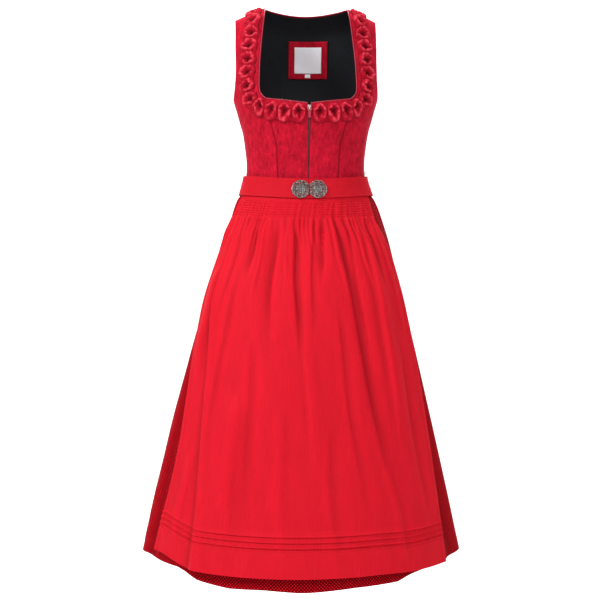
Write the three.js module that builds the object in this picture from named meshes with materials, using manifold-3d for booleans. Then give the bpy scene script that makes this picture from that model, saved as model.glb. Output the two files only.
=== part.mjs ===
// A dirndl as it is worn, with no wearer in it: velvet bodice with a ruched neckline trim and a front
// zip, gathered skirt, and a smocked apron closed by a two part metal clasp. Millimetres, +Z up, the
// front faces -Y. The origin lies between the shoulders, which hold the dress up. Left and right are
// the wearer's, so left is +X.
import * as THREE from 'three';
import { mergeVertices } from 'three/addons/utils/BufferGeometryUtils.js';
import Module from 'manifold-3d';

const wasm = await Module();
wasm.setup();

// Cloth and seams
const VELVET = 2;
const LINING = 1.2;
const SKIRT_CLOTH = 1.6;
const APRON_CLOTH = 1.6;
const BAND_CLOTH = 1.8;
const SEAM = 0.3;

// Heights, down from the shoulders
const WAIST = -355;
const HEM = -1135;
const WAIST_DIP = 10;
const UNDERARM = -206;

// Shoulders
const SHOULDER_ROUND = 45;
const SHOULDER_SLOPE = 0.44;
const SLOPE_END = -120;
const NECK_SIDE = 87;
const BACK_NECK_DROP = 8;

// Half width, depth to the front and depth to the back of the dress at each height, with its
// sideways hang
const SECTIONS = [
  { h: 0, half: 150, front: 58, back: 74, hang: 0 },
  { h: -30, half: 153, front: 62, back: 78, hang: 0 },
  { h: -66, half: 156, front: 70, back: 88, hang: 0 },
  { h: -110, half: 158, front: 84, back: 98, hang: 0 },
  { h: -150, half: 158, front: 97, back: 103, hang: 0 },
  { h: -190, half: 152, front: 111, back: 103, hang: 0 },
  { h: -225, half: 142, front: 118, back: 99, hang: 0 },
  { h: -262, half: 132, front: 112, back: 93, hang: 0 },
  { h: -300, half: 126, front: 102, back: 88, hang: 0 },
  { h: -330, half: 123.5, front: 97, back: 86, hang: 0 },
  { h: -355, half: 125, front: 97, back: 90, hang: 0 },
  { h: -388, half: 134, front: 104, back: 105, hang: 1 },
  { h: -426, half: 149, front: 116, back: 122, hang: 2 },
  { h: -502, half: 175, front: 138, back: 150, hang: 2 },
  { h: -603, half: 205, front: 166, back: 181, hang: -2 },
  { h: -703, half: 231, front: 190, back: 207, hang: -5 },
  { h: -829, half: 261, front: 220, back: 236, hang: -8 },
  { h: -981, half: 295, front: 254, back: 270, hang: -10 },
  { h: -1135, half: 328, front: 289, back: 302, hang: -11.5 },
];

const DEGREE = Math.PI / 180;
const lerp = THREE.MathUtils.lerp;
const smooth = THREE.MathUtils.smoothstep;
const bump = (distance, width) => Math.exp(-((distance / width) ** 2));

// A smooth function through the rows of a table, from one named column to another. The rows run
// downwards, from the highest value of the key column to the lowest.
function column(rows, key, value) {
  const slope = (i) => {
    const above = rows[Math.max(i - 1, 0)];
    const below = rows[Math.min(i + 1, rows.length - 1)];
    return (below[value] - above[value]) / (below[key] - above[key]);
  };
  return (at) => {
    const after = rows.findIndex((row) => row[key] <= at);
    if (after === 0) return rows[0][value];
    if (after < 0) return rows.at(-1)[value];
    const start = rows[after - 1];
    const end = rows[after];
    const span = end[key] - start[key];
    const t = (at - start[key]) / span;
    const rise = t * t * (3 - 2 * t);
    return lerp(start[value], end[value], rise)
      + span * (t * (1 - t) ** 2 * slope(after - 1) - t * t * (1 - t) * slope(after));
  };
}

const halfWidth = column(SECTIONS, 'h', 'half');
const frontDepth = column(SECTIONS, 'h', 'front');
const backDepth = column(SECTIONS, 'h', 'back');
const hang = column(SECTIONS, 'h', 'hang');

// A point of the bare form: the angle runs round from the front, towards the wearer's left
function formPoint(angle, h) {
  const toTop = Math.max(1 + h / SHOULDER_ROUND, 0);
  const rounding = Math.sqrt(Math.max(1 - toTop * toTop, 0));
  const depth = (Math.cos(angle) > 0 ? frontDepth(h) : backDepth(h)) * rounding + SEAM / 2;
  const x = halfWidth(h) * Math.sin(angle);
  const beyondNeck = Math.max(Math.abs(x) - NECK_SIDE, 0);
  const shoulderDrop = SHOULDER_SLOPE * beyondNeck * Math.max(1 - h / SLOPE_END, 0);
  const dipFade = smooth(-h, -WAIST - 60, -WAIST) * (1 - smooth(-h, -WAIST, -WAIST + 350));
  const dip = WAIST_DIP * Math.max(Math.cos(angle), 0) ** 2 * dipFade;
  return new THREE.Vector3(x + hang(h), -depth * Math.cos(angle), h - shoulderDrop - dip);
}

// The way out of the cloth at a point of the form
function formNormal(angle, h) {
  const step = 1e-4;
  const lower = Math.min(h, -0.3) - 0.2;
  const across = formPoint(angle + step, h).sub(formPoint(angle - step, h));
  const up = formPoint(angle, lower + 0.4).sub(formPoint(angle, lower));
  const normal = across.cross(up).normalize();
  normal.y *= smooth(-h, 0, 4);
  return normal.normalize();
}

const offForm = (angle, h, out) => formPoint(angle, h).addScaledVector(formNormal(angle, h), out);

// The angle at which the form has a given half width at the front, and the same at the back
const frontAngle = (x, h) => Math.asin(THREE.MathUtils.clamp(x / halfWidth(h), -1, 1));
const backAngle = (x, h) => Math.PI - frontAngle(x, h);

// Triangles between two lines of points that start and end together, the first line below. Where
// both could go on, the line below goes first, or the one above if that is asked for.
function strip(triangles, below, above, aboveFirst = false) {
  let i = 0;
  let j = 0;
  while (i < below.length - 1 || j < above.length - 1) {
    const belowNext = i < below.length - 1 ? below[i + 1].at : Infinity;
    const aboveNext = j < above.length - 1 ? above[j + 1].at : Infinity;
    if (aboveFirst ? belowNext < aboveNext : belowNext <= aboveNext) {
      triangles.push(below[i].index, below[i + 1].index, above[j].index);
      i += 1;
    } else {
      triangles.push(below[i].index, above[j + 1].index, above[j].index);
      j += 1;
    }
  }
}

function closedGeometry(positions, triangles) {
  const geometry = new THREE.BufferGeometry();
  geometry.setAttribute('position', new THREE.Float32BufferAttribute(positions, 3));
  geometry.setIndex(triangles);
  geometry.computeVertexNormals();
  return geometry;
}

// A cloth wall. Each face is a function of the places across (0 to 1, to the right seen from
// outside) and along (0 to 1, upwards), and has rows { along, across: [...] } of its own.
function wall(outer, inner, outerRows, innerRows = outerRows) {
  const positions = [];
  const triangles = [];
  const grid = (face, rows) => rows.map((row) => row.across.map((at) => {
    positions.push(...face(at, row.along).toArray());
    return { at, index: positions.length / 3 - 1 };
  }));
  const edge = (points, rows, end) => points.map((line, i) => (
    { at: rows[i].along, index: line.at(end).index }
  ));
  const outside = grid(outer, outerRows);
  const inside = grid(inner, innerRows);
  for (let i = 1; i < outside.length; i += 1) strip(triangles, outside[i - 1], outside[i]);
  for (let i = 1; i < inside.length; i += 1) strip(triangles, inside[i], inside[i - 1], true);
  strip(triangles, inside[0], outside[0]);
  strip(triangles, outside.at(-1), inside.at(-1));
  strip(triangles, edge(outside, outerRows, 0), edge(inside, innerRows, 0));
  strip(triangles, edge(inside, innerRows, -1), edge(outside, outerRows, -1));
  return closedGeometry(positions, triangles);
}

const steps = (count) => Array.from({ length: count + 1 }, (_, i) => i / count);

const dress = new THREE.Group();
const VELVET_RED = { color: 0xc31a34, roughness: 0.75, metalness: 0 };
const SKIRT_RED = { color: 0x8e0a16, roughness: 0.85, metalness: 0 };
const APRON_RED = { color: 0xd61a2e, roughness: 0.7, metalness: 0 };
const LINING_BLACK = { color: 0x15171b, roughness: 0.8, metalness: 0 };
const LABEL_WHITE = { color: 0xe6e2ea, roughness: 0.7, metalness: 0 };
const OLD_SILVER = { color: 0x96918a, roughness: 0.4, metalness: 1 };

function add(name, geometry, finish) {
  const mesh = new THREE.Mesh(geometry, new THREE.MeshStandardMaterial(finish));
  mesh.name = name;
  dress.add(mesh);
}

// A panel of cloth on the form, between a left and a right edge given row by row, from the bottom
// up, as { left: {angle, h}, right: {angle, h}, columns }. Its edges stand back from the line.
const EDGE_MARGIN = 0.24;
function formPanel(rows, columns, thickness, lift = 0, topDrop = () => 0) {
  const place = (out) => (across, along) => {
    const { left, right } = rows[along];
    const h = lerp(left.h, right.h, across);
    const margin = EDGE_MARGIN / halfWidth(h);
    const angle = lerp(left.angle + margin, right.angle - margin, across);
    return offForm(angle, h - topDrop(angle, h), out);
  };
  const grid = rows.map((row, along) => ({ along, across: steps(row.columns ?? columns) }));
  return wall(place(lift), place(lift - thickness), grid);
}

// The same piece on the wearer's right
function mirrored(geometry) {
  const copy = geometry.clone().scale(-1, 1, 1);
  const index = copy.index.array;
  for (let i = 0; i < index.length; i += 3) [index[i], index[i + 1]] = [index[i + 1], index[i]];
  return copy;
}
function addPair(name, geometry, finish) {
  add(`${name}_left`, geometry, finish);
  add(`${name}_right`, mirrored(geometry), finish);
}

// The wearer's left half of the front: the zip edge and the seam beside it, row by row
const ZIP_GAP_TOP = 3.5;
const ZIP_GAP_BOTTOM = 1;
const FRONT_SEAM = [
  { zipH: -355, seamX: 61, seamH: -355 },
  { zipH: -326, seamX: 62.5, seamH: -324 },
  { zipH: -294, seamX: 65, seamH: -290 },
  { zipH: -264, seamX: 73, seamH: -260 },
  { zipH: -238, seamX: 82, seamH: -232 },
  { zipH: -214, seamX: 88, seamH: -202 },
];
const frontCentreRows = FRONT_SEAM.map(({ zipH, seamX, seamH }, i) => ({
  left: {
    angle: frontAngle(lerp(ZIP_GAP_BOTTOM, ZIP_GAP_TOP, i / (FRONT_SEAM.length - 1)), zipH),
    h: zipH,
  },
  right: { angle: frontAngle(seamX, seamH), h: seamH },
}));

// The side of the front with its strap: the edge towards the neck, and the edge at the side seam
// (up to the underarm) and the armhole
const STRAP_EDGES = [
  { neckX: 98, neckH: -190, armX: 151.4, armH: -193 },
  { neckX: 101, neckH: -174, armX: 149.5, armH: -172 },
  { neckX: 100.5, neckH: -150, armX: 148, armH: -148 },
  { neckX: 99.5, neckH: -122, armX: 147.5, armH: -122 },
  { neckX: 95.5, neckH: -74, armX: 148, armH: -78 },
  { neckX: 91, neckH: -34, armX: 148, armH: -38 },
  { neckX: 88.5, neckH: -14, armX: 148, armH: -15 },
  { neckX: 87.5, neckH: -4, armX: 148, armH: -4 },
  { neckX: 87, neckH: 0, armX: 148, armH: 0 },
];
const sideSeam = Math.PI / 2;
const frontSideRows = [
  ...FRONT_SEAM.map(({ seamX, seamH }, i) => ({
    left: { angle: frontAngle(seamX, seamH), h: seamH },
    right: { angle: sideSeam, h: lerp(WAIST, UNDERARM, i / (FRONT_SEAM.length - 1)) },
  })),
  ...STRAP_EDGES.map(({ neckX, neckH, armX, armH }) => ({
    left: { angle: frontAngle(neckX, neckH), h: neckH },
    right: { angle: frontAngle(armX, armH), h: armH },
  })),
];
addPair('bodice_front_centre', formPanel(frontCentreRows, 4, VELVET), VELVET_RED);
addPair('bodice_front_side', formPanel(frontSideRows, 5, VELVET), VELVET_RED);

// The back: curved seams from the armholes down to the waist, and a shallow neck
const BACK_SEAM = [
  { x: 33, h: -355, sideH: -355 },
  { x: 33, h: -310, sideH: -325 },
  { x: 34.5, h: -250, sideH: -290 },
  { x: 38, h: -190, sideH: -258 },
  { x: 46, h: -146, sideH: -230 },
  { x: 62, h: -110, sideH: -206 },
  { x: 88, h: -80, sideH: -178 },
  { x: 116, h: -62, sideH: -130 },
  { x: 147, h: -52, sideH: -56 },
];
const BACK_ARMHOLE = [
  { x: 148, h: -36 },
  { x: 148, h: -20 },
  { x: 148, h: -9 },
  { x: 148, h: -3 },
  { x: 148, h: 0 },
];
const BACK_ARM_X = [
  { h: -56, x: 147 },
  { h: -130, x: 147 },
  { h: -178, x: 149.5 },
  { h: -206, x: 149 },
];
const backArmX = column(BACK_ARM_X, 'h', 'x');
const NECK_COLUMNS = 18;
const backCentreRows = [...BACK_SEAM, ...BACK_ARMHOLE].map(({ x, h }) => ({
  left: { angle: backAngle(x, h), h },
  right: { angle: 2 * Math.PI - backAngle(x, h), h },
  columns: h > -15 ? NECK_COLUMNS : 12,
}));
const backSideRows = BACK_SEAM.map(({ x, h, sideH }) => ({
  left: { angle: sideH <= UNDERARM ? sideSeam : backAngle(backArmX(sideH), sideH), h: sideH },
  right: { angle: backAngle(x, h), h },
}));

// The back neck dips between the shoulders, less and less further down
function neckDip(angle, h) {
  const x = Math.abs(halfWidth(h) * Math.sin(angle));
  const side = Math.max(Math.cos((Math.PI / 2) * Math.min(x / NECK_SIDE, 1)), 0);
  return BACK_NECK_DROP * side * smooth(h, -50, 0);
}
add('bodice_back_centre', formPanel(backCentreRows, 12, VELVET, 0, neckDip), VELVET_RED);
addPair('bodice_back_side', formPanel(backSideRows, 6, VELVET), VELVET_RED);

// The black lining of the back, just inside the velvet
const LINING_LIFT = -VELVET - 0.9;
const liningCentreRows = backCentreRows.slice(0, -1);
add('lining_back_centre', formPanel(liningCentreRows, 12, LINING, LINING_LIFT, neckDip), LINING_BLACK);
addPair('lining_back', formPanel(backSideRows, 6, LINING, LINING_LIFT), LINING_BLACK);

// The patch inside the back with its label and size tab, each on the piece behind it
const PATCH_X = 11;
function backPatch(width, top, height, lift, thickness) {
  const rows = steps(2).map((along) => {
    const h = lerp(top - height, top, along);
    return {
      left: { angle: backAngle(PATCH_X + width / 2, h), h },
      right: { angle: backAngle(PATCH_X - width / 2, h), h },
    };
  });
  return formPanel(rows, 4, thickness, lift);
}
const PATCH_LIFT = LINING_LIFT - LINING - 1.5;
add('label_patch', backPatch(86, -52, 80, PATCH_LIFT, 1.2), VELVET_RED);
add('label', backPatch(60, -64, 56, PATCH_LIFT - 2, 0.8), LABEL_WHITE);
add('size_tab', backPatch(12, -121.5, 8, PATCH_LIFT - 2, 0.8), LABEL_WHITE);

// The neckline, from the zip round the corner and over the shoulder to the back of it, as places
// on the form; the trim follows it a little way out
const TRIM_WIDTH = 31;
const TRIM_FOLDS = 12;
const TRIM_BASE = 3.2;
const TRIM_PUFF = 5;
const TRIM_SEAT = 0.9;
const TRIM_LINE = [
  { x: 7, h: -231 },
  { x: 48, h: -228 },
  { x: 82, h: -222 },
  { x: 106, h: -209 },
  { x: 118, h: -190 },
  { x: 120.5, h: -165 },
  { x: 119, h: -120 },
  { x: 114.5, h: -70 },
  { x: 109, h: -30 },
  { x: 106, h: -8 },
  { x: 105, h: -1 },
];
const trimCurve = new THREE.CatmullRomCurve3(
  TRIM_LINE.map(({ x, h }) => formPoint(frontAngle(x, h), h)), false, 'centripetal');
const trimNormals = new THREE.CatmullRomCurve3(
  TRIM_LINE.map(({ x, h }) => formNormal(frontAngle(x, h), h)), false, 'centripetal');

// One ruched trim: box pleats pinched along the middle, so that each stands up as two mouths
function trimPlace(heightAt) {
  return (across, along) => {
    const t = trimCurve.getUtoTmapping(along);
    const point = trimCurve.getPoint(t);
    const normal = trimNormals.getPoint(t).normalize();
    const outward = normal.clone().cross(trimCurve.getTangent(t)).normalize();
    const offset = (0.5 - across) * TRIM_WIDTH;
    return point.addScaledVector(outward, offset).addScaledVector(normal, heightAt(offset, along));
  };
}
const trimHeight = (offset, along) => TRIM_BASE
  + TRIM_PUFF * Math.abs(Math.sin(Math.PI * TRIM_FOLDS * along)) * (1 - 0.6 * bump(offset, 5));
addPair('neck_trim', wall(
  trimPlace(trimHeight),
  trimPlace(() => TRIM_SEAT),
  steps(TRIM_FOLDS * 4).map((along) => ({ along, across: steps(4) })),
  steps(TRIM_FOLDS * 2).map((along) => ({ along, across: steps(2) }))), VELVET_RED);

// A round cord through rows of points, each { point, side, out }, closed at both ends
function cord(rows, radius, sides = 6) {
  const positions = [];
  const triangles = [];
  rows.forEach(({ point, side, out }) => {
    for (let k = 0; k < sides; k += 1) {
      const turn = (2 * Math.PI * k) / sides;
      const place = point.clone().addScaledVector(side, radius * Math.cos(turn));
      positions.push(...place.addScaledVector(out, radius * Math.sin(turn)).toArray());
    }
  });
  for (let i = 1; i < rows.length; i += 1) {
    for (let k = 0; k < sides; k += 1) {
      const next = (k + 1) % sides;
      const low = (i - 1) * sides;
      const high = i * sides;
      triangles.push(low + k, low + next, high + next, low + k, high + next, high + k);
    }
  }
  const last = (rows.length - 1) * sides;
  for (let k = 1; k < sides - 1; k += 1) {
    triangles.push(0, k + 1, k, last, last + k, last + k + 1);
  }
  return closedGeometry(positions, triangles);
}

// The satin piping just inside the neck edge, on the same rows of places as the edge itself
const PIPING_RADIUS = 1.2;
const PIPING_REACH = PIPING_RADIUS + 0.45;
function piping(places) {
  const edge = places.map(({ angle, h }) => offForm(angle, h, -VELVET / 2));
  return places.map(({ angle, h }, i) => {
    const before = edge[Math.max(i - 1, 0)];
    const after = edge[Math.min(i + 1, edge.length - 1)];
    const run = after.clone().sub(before).normalize();
    const out = formNormal(angle, h);
    const side = out.clone().cross(run).normalize();
    out.crossVectors(run, side).normalize();
    return { point: edge[i].clone().addScaledVector(side, PIPING_REACH), side, out };
  });
}
const neckPlaces = [
  ...steps(4).map((at) => {
    const { left, right } = frontCentreRows.at(-1);
    return { angle: lerp(left.angle, right.angle, at), h: lerp(left.h, right.h, at) };
  }),
  ...STRAP_EDGES.slice(0, -1).map(({ neckX, neckH }) => ({ angle: frontAngle(neckX, neckH), h: neckH })),
];
addPair('neck_piping', cord(piping(neckPlaces), PIPING_RADIUS), VELVET_RED);
const neckRow = backCentreRows.at(-1);
const backNeck = steps(NECK_COLUMNS).slice(6, -6).map((at) => {
  const angle = lerp(neckRow.left.angle, neckRow.right.angle, at);
  return { angle, h: -neckDip(angle, 0) - 0.01 };
});
add('neck_piping_back', cord(piping(backNeck), PIPING_RADIUS), VELVET_RED);

// The front zip: tape behind the edges of the velvet, chain between them, slider and pull tab
const ZIP_TOP = -216;
const TAPE_HALF = 12;
const CHAIN_HALF_TOP = 2.4;
const CHAIN_HALF_BOTTOM = 0.5;
function zipStrip(halfTop, halfBottom, top, bottom, lift, thickness) {
  const rows = steps(5).map((along) => {
    const h = lerp(bottom, top, along);
    const half = lerp(halfBottom, halfTop, along);
    return {
      left: { angle: -frontAngle(half, h), h },
      right: { angle: frontAngle(half, h), h },
    };
  });
  return formPanel(rows, 2, thickness, lift);
}
add('zip_tape', zipStrip(TAPE_HALF, TAPE_HALF, ZIP_TOP, -352, -VELVET - 1.2, 1), VELVET_RED);
add('zip_chain', zipStrip(CHAIN_HALF_TOP, CHAIN_HALF_BOTTOM, ZIP_TOP, -352, -0.6, 1.4), OLD_SILVER);

// Boxes and extrusions as solids that can be joined and cut
function solid(geometry) {
  const bare = geometry.clone();
  ['normal', 'uv'].forEach((attribute) => bare.deleteAttribute(attribute));
  const merged = mergeVertices(bare, 1e-4);
  return new wasm.Manifold(new wasm.Mesh({
    numProp: 3,
    vertProperties: merged.attributes.position.array,
    triVerts: new Uint32Array(merged.index.array),
  }));
}
function solidGeometry(shape) {
  const { vertProperties, triVerts } = shape.getMesh();
  return closedGeometry(Array.from(vertProperties), Array.from(triVerts));
}
function block(width, depth, height, x, y, z) {
  return solid(new THREE.BoxGeometry(width, depth, height).translate(x, y, z));
}

// The slider is a plate over the chain with an arch that the eye of the pull tab hangs in
const SLIDER = { width: 6.4, seat: -0.25, depth: 2.2, height: 11 };
const ARCH = { width: 2, rise: 3.4, height: 7, wall: 1 };
const sliderH = -222;
const sliderY = formPoint(0, sliderH).y - SLIDER.seat - SLIDER.depth / 2;
const pullY = sliderY - SLIDER.depth / 2 - 1.3;
const arch = block(ARCH.width, ARCH.rise, ARCH.height,
  0, sliderY - SLIDER.depth / 2 - ARCH.rise / 2, sliderH);
const window = block(ARCH.width + 2, ARCH.rise - ARCH.wall,
  ARCH.height - 2 * ARCH.wall,
  0, sliderY - (SLIDER.depth + ARCH.rise - ARCH.wall) / 2, sliderH);
const plate = block(SLIDER.width, SLIDER.depth, SLIDER.height, 0, sliderY, sliderH);
add('zip_slider', solidGeometry(arch.subtract(window).add(plate)), OLD_SILVER);

// The pull tab turns on the bar of its eye, in the slider's arch
const PULL = { width: 5, thickness: 1.2, length: 21, eye: 2.8, eyeHeight: 3.6, bar: 1.2 };
const tab = block(PULL.width, PULL.thickness, PULL.length, 0, 0, PULL.bar / 2 - PULL.length / 2);
const eye = block(PULL.eye, PULL.thickness + 1, PULL.eyeHeight, 0, 0, -PULL.bar / 2 - PULL.eyeHeight / 2);
add('zip_pull', solidGeometry(tab.subtract(eye).translate([0, pullY, sliderH])), OLD_SILVER);

// A small metal tag at the left side of the waist
const TAG = { width: 1.4, depth: 6, height: 10, h: -344, gap: 1.3 };
const tagX = formPoint(sideSeam, TAG.h).x + TAG.gap + TAG.width / 2;
const tag = new THREE.BoxGeometry(TAG.width, TAG.depth, TAG.height).translate(tagX, -4, TAG.h);
add('side_tag', tag, OLD_SILVER);

// The skirt: gathers at the waist that run out down the cloth, and folds that grow to the hem
const GATHER_DEPTH = 3;
const SKIRT_FOLDS = 15;
const SKIRT_FOLD_DEPTH = 8;
const BAND_TOP = -353;
const BAND_HEIGHT = 41;
const GATHER_END = -530;
const SKIRT_PANELS = [
  { name: 'skirt_front', from: -66, to: 60, gathers: 0, folds: 0.0225, columns: 18 },
  { name: 'skirt_left', from: 60, to: 132, gathers: 17, folds: 1, columns: 16 },
  { name: 'skirt_back', from: 132, to: 222, gathers: 21, folds: 1, columns: 22 },
  { name: 'skirt_right', from: 222, to: 294, gathers: 17, folds: 1, columns: 16 },
];
const foldWave = (angle) => Math.cos(SKIRT_FOLDS * angle + 1.3 * Math.sin(3 * angle));
function skirtPanel({ from, to, gathers, folds, columns }) {
  const heights = [HEM, -1050, -940, -820, -700, -600, -530, -480, -435, -400, -372, WAIST - SEAM];
  const place = (out) => (across, along) => {
    const h = heights[along];
    const margin = SEAM / 2 / halfWidth(h);
    const angle = lerp(from * DEGREE + margin, to * DEGREE - margin, across);
    const seamCalm = smooth(Math.min(across, 1 - across), 0, 0.5 / Math.max(gathers, 1));
    const fromFront = Math.abs(angle > Math.PI ? angle - 2 * Math.PI : angle) / DEGREE;
    const waves = gathers > 0 ? 0.5 - 0.5 * Math.cos(2 * Math.PI * gathers * across) : 0;
    const gathered = smooth(h, GATHER_END, -415) * (1 - smooth(h, -405, -385));
    const gather = GATHER_DEPTH * smooth(fromFront, 80, 88) * gathered * seamCalm * waves;
    const atSeam = smooth(Math.min(across, 1 - across), 0, 0.04);
    const fold = SKIRT_FOLD_DEPTH * smooth(-h, 420, 1135) * foldWave(angle) * folds;
    return offForm(angle, h, out + gather + fold * (folds < 1 ? 1 : lerp(0.4, 1, atSeam)));
  };
  const fine = Math.max(gathers * 2, columns);
  const rows = heights.map((h, along) => ({
    along,
    across: steps(h > -500 && h < -390 ? fine : columns),
  }));
  return wall(place(0), place(-SKIRT_CLOTH), rows);
}
SKIRT_PANELS.forEach((panel) => add(panel.name, skirtPanel(panel), SKIRT_RED));

// The apron's side edges, in degrees round the form, and how far its cloth stands off the skirt
const APRON_EDGES = [
  { h: -364, right: -78, left: 72, lift: 2.2 },
  { h: -437, right: -78, left: 60, lift: 3 },
  { h: -510, right: -77, left: 62, lift: 5 },
  { h: -600, right: -74, left: 60, lift: 8 },
  { h: -710, right: -66, left: 59, lift: 10 },
  { h: -890, right: -60, left: 56.5, lift: 11 },
  { h: -1110, right: -62.5, left: 52.5, lift: 12 },
];
const apronRight = column(APRON_EDGES, 'h', 'right');
const apronLeft = column(APRON_EDGES, 'h', 'left');
const apronLift = column(APRON_EDGES, 'h', 'lift');

// The apron's largest folds: the place of each at its top and bottom, with its depth out (or in,
// below zero) and half width in degrees
const APRON_FOLDS = [
  { top: -450, topAt: -24.4, bottom: -680, bottomAt: -20, depth: -4, width: 3 },
  { top: -455, topAt: -10.5, bottom: -700, bottomAt: -4.5, depth: -3.5, width: 2.6 },
  { top: -450, topAt: 8.6, bottom: -560, bottomAt: 5.5, depth: -3.5, width: 2.6 },
  { top: -446, topAt: 18.5, bottom: -940, bottomAt: 31, depth: -4.5, width: 3.4 },
  { top: -440, topAt: 47, bottom: -580, bottomAt: 44, depth: -3.5, width: 3.5 },
  { top: -440, topAt: -39.7, bottom: -560, bottomAt: -38, depth: -4, width: 2.8 },
  { top: -480, topAt: 39.5, bottom: -900, bottomAt: 38, depth: 5, width: 4.5 },
  { top: -545, topAt: -64, bottom: -760, bottomAt: -57, depth: 4, width: 4 },
  { top: -800, topAt: -31, bottom: -1060, bottomAt: -30, depth: 4, width: 6 },
];
// On the right a long fold lies over the strip at the apron's edge
const OVERLAP = [
  { h: -450, at: -60 },
  { h: -600, at: -58 },
  { h: -710, at: -50.5 },
  { h: -830, at: -45.5 },
  { h: -1000, at: -41 },
  { h: -1120, at: -39.8 },
];
const overlapAt = column(OVERLAP, 'h', 'at');
const OVERLAP_STEP = 5;

const GATHERS = 30;
const APRON_GATHER = 2.6;
const SMOCK_TOP = -404;
const SMOCK_PITCH = 5;
const SMOCK_ROWS = 6;
const SMOCK_DEPTH = 1.1;
const SMOCK_END = SMOCK_TOP - SMOCK_PITCH * SMOCK_ROWS;
const TUCK_PITCH = 10;
const TUCK_RISE = 1.6;
const TUCK_LOWEST = 52;
const APRON_HEM_RIGHT = -1095;
const APRON_HEM_FRONT = -1112;

function apronFold(angle, h) {
  const degrees = angle / DEGREE;
  const folds = APRON_FOLDS.reduce((sum, { top, topAt, bottom, bottomAt, depth, width }) => {
    const along = (h - top) / (bottom - top);
    const at = lerp(topAt, bottomAt, THREE.MathUtils.clamp(along, 0, 1));
    const reach = smooth(along, -0.1, 0.15) * (1 - smooth(along, 0.6, 1.15));
    return sum + depth * reach * bump(degrees - at, width);
  }, 0);
  const overlap = OVERLAP_STEP * smooth(degrees - overlapAt(h), -2.5, 0) * smooth(-h, 440, 620);
  return folds + overlap;
}

// The rows of the apron's outside, from the hem up: a height at the front centre, how far the row
// belongs to a tuck or a smocking ridge, and how many places it has across
const hemRows = [{ h: 0, raised: 0, places: 40 }, { h: 40, raised: 0, places: 40 }];
[0, 1, 2].forEach((tuck) => {
  const height = TUCK_LOWEST + TUCK_PITCH * tuck;
  hemRows.push(
    { h: height, raised: 0, places: 40 },
    { h: height + 0.7, raised: TUCK_RISE, places: 40 },
    { h: height + 4.5, raised: 0, places: 40 });
});
const lowerRows = [-1010, -920, -830, -750, -680, -620, -565].map((h) => ({ h, raised: 0, places: 40 }));
const fadeRows = [-525, -490, -462].map((h) => ({ h, raised: 0, places: 2 * GATHERS }));
const smockRows = steps(2 * SMOCK_ROWS).map((at, i) => ({
  h: lerp(SMOCK_END, SMOCK_TOP, at), raised: i % 2 ? SMOCK_DEPTH : 0, places: 2 * GATHERS,
}));
const apronTop = { h: -366, raised: 0, places: GATHERS };
const hemLine = (angle) => lerp(APRON_HEM_FRONT, APRON_HEM_RIGHT,
  smooth(-angle / DEGREE, 38, 60)) - 4 * smooth(angle / DEGREE, 20, 40);
const outsideRows = [
  ...hemRows.map((row) => ({ ...row, fromHem: true })),
  ...lowerRows, ...fadeRows, ...smockRows, apronTop,
];
const insideRows = [
  { h: 0, fromHem: true, places: 40 }, { h: 40, fromHem: true, places: 40 },
  ...lowerRows, { h: -510, places: 40 },
  { h: SMOCK_END, places: 40 }, { h: SMOCK_TOP, places: 40 }, { h: apronTop.h, places: GATHERS },
];
const apronPlace = (rows, face) => (across, along) => {
  const { h, raised = 0, fromHem = false } = rows[along];
  const level = fromHem ? APRON_HEM_FRONT + h : h;
  const angle = lerp(apronRight(level), apronLeft(level), across) * DEGREE;
  const height = fromHem ? hemLine(angle) + h : h;
  const gathered = smooth(-h, -SMOCK_TOP - 3, -SMOCK_TOP + 2) * smooth(level, -580, SMOCK_END - 10);
  const waves = 0.5 - 0.5 * Math.cos(2 * Math.PI * GATHERS * across);
  const gather = face === 'inside' ? 0
    : APRON_GATHER * gathered * waves * lerp(1, 0.45, smooth(level, SMOCK_END - 6, SMOCK_END));
  const out = apronLift(level) + apronFold(angle, level) + gather + raised;
  return offForm(angle, height, face === 'inside' ? out - APRON_CLOTH : out);
};
function apron() {
  const key = ({ h, fromHem }) => (fromHem ? h / 2000 : (h + 1135) / 1000);
  const outer = apronPlace(outsideRows, 'outside');
  const inner = apronPlace(insideRows, 'inside');
  const rows = (list) => list.map((row) => ({ along: key(row), across: steps(row.places) }));
  const find = (list, along) => list.findIndex((row) => key(row) === along);
  return wall(
    (across, along) => outer(across, find(outsideRows, along)),
    (across, along) => inner(across, find(insideRows, along)),
    rows(outsideRows), rows(insideRows));
}
add('apron', apron(), APRON_RED);

// The apron's band round the waist, open under the clasp
const BAND_LIFT = 6.2;
const BAND_PARTS = [
  { name: 'waistband_left', from: 0, to: 90, columns: 10 },
  { name: 'waistband_back', from: 90, to: 270, columns: 18 },
  { name: 'waistband_right', from: 270, to: 360, columns: 10 },
];
BAND_PARTS.forEach(({ name, from, to, columns }) => {
  const rows = steps(3).map((along) => {
    const h = lerp(BAND_TOP - BAND_HEIGHT, BAND_TOP, along);
    return { left: { angle: from * DEGREE, h }, right: { angle: to * DEGREE, h } };
  });
  add(name, formPanel(rows, columns, BAND_CLOTH, BAND_LIFT), APRON_RED);
});

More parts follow.
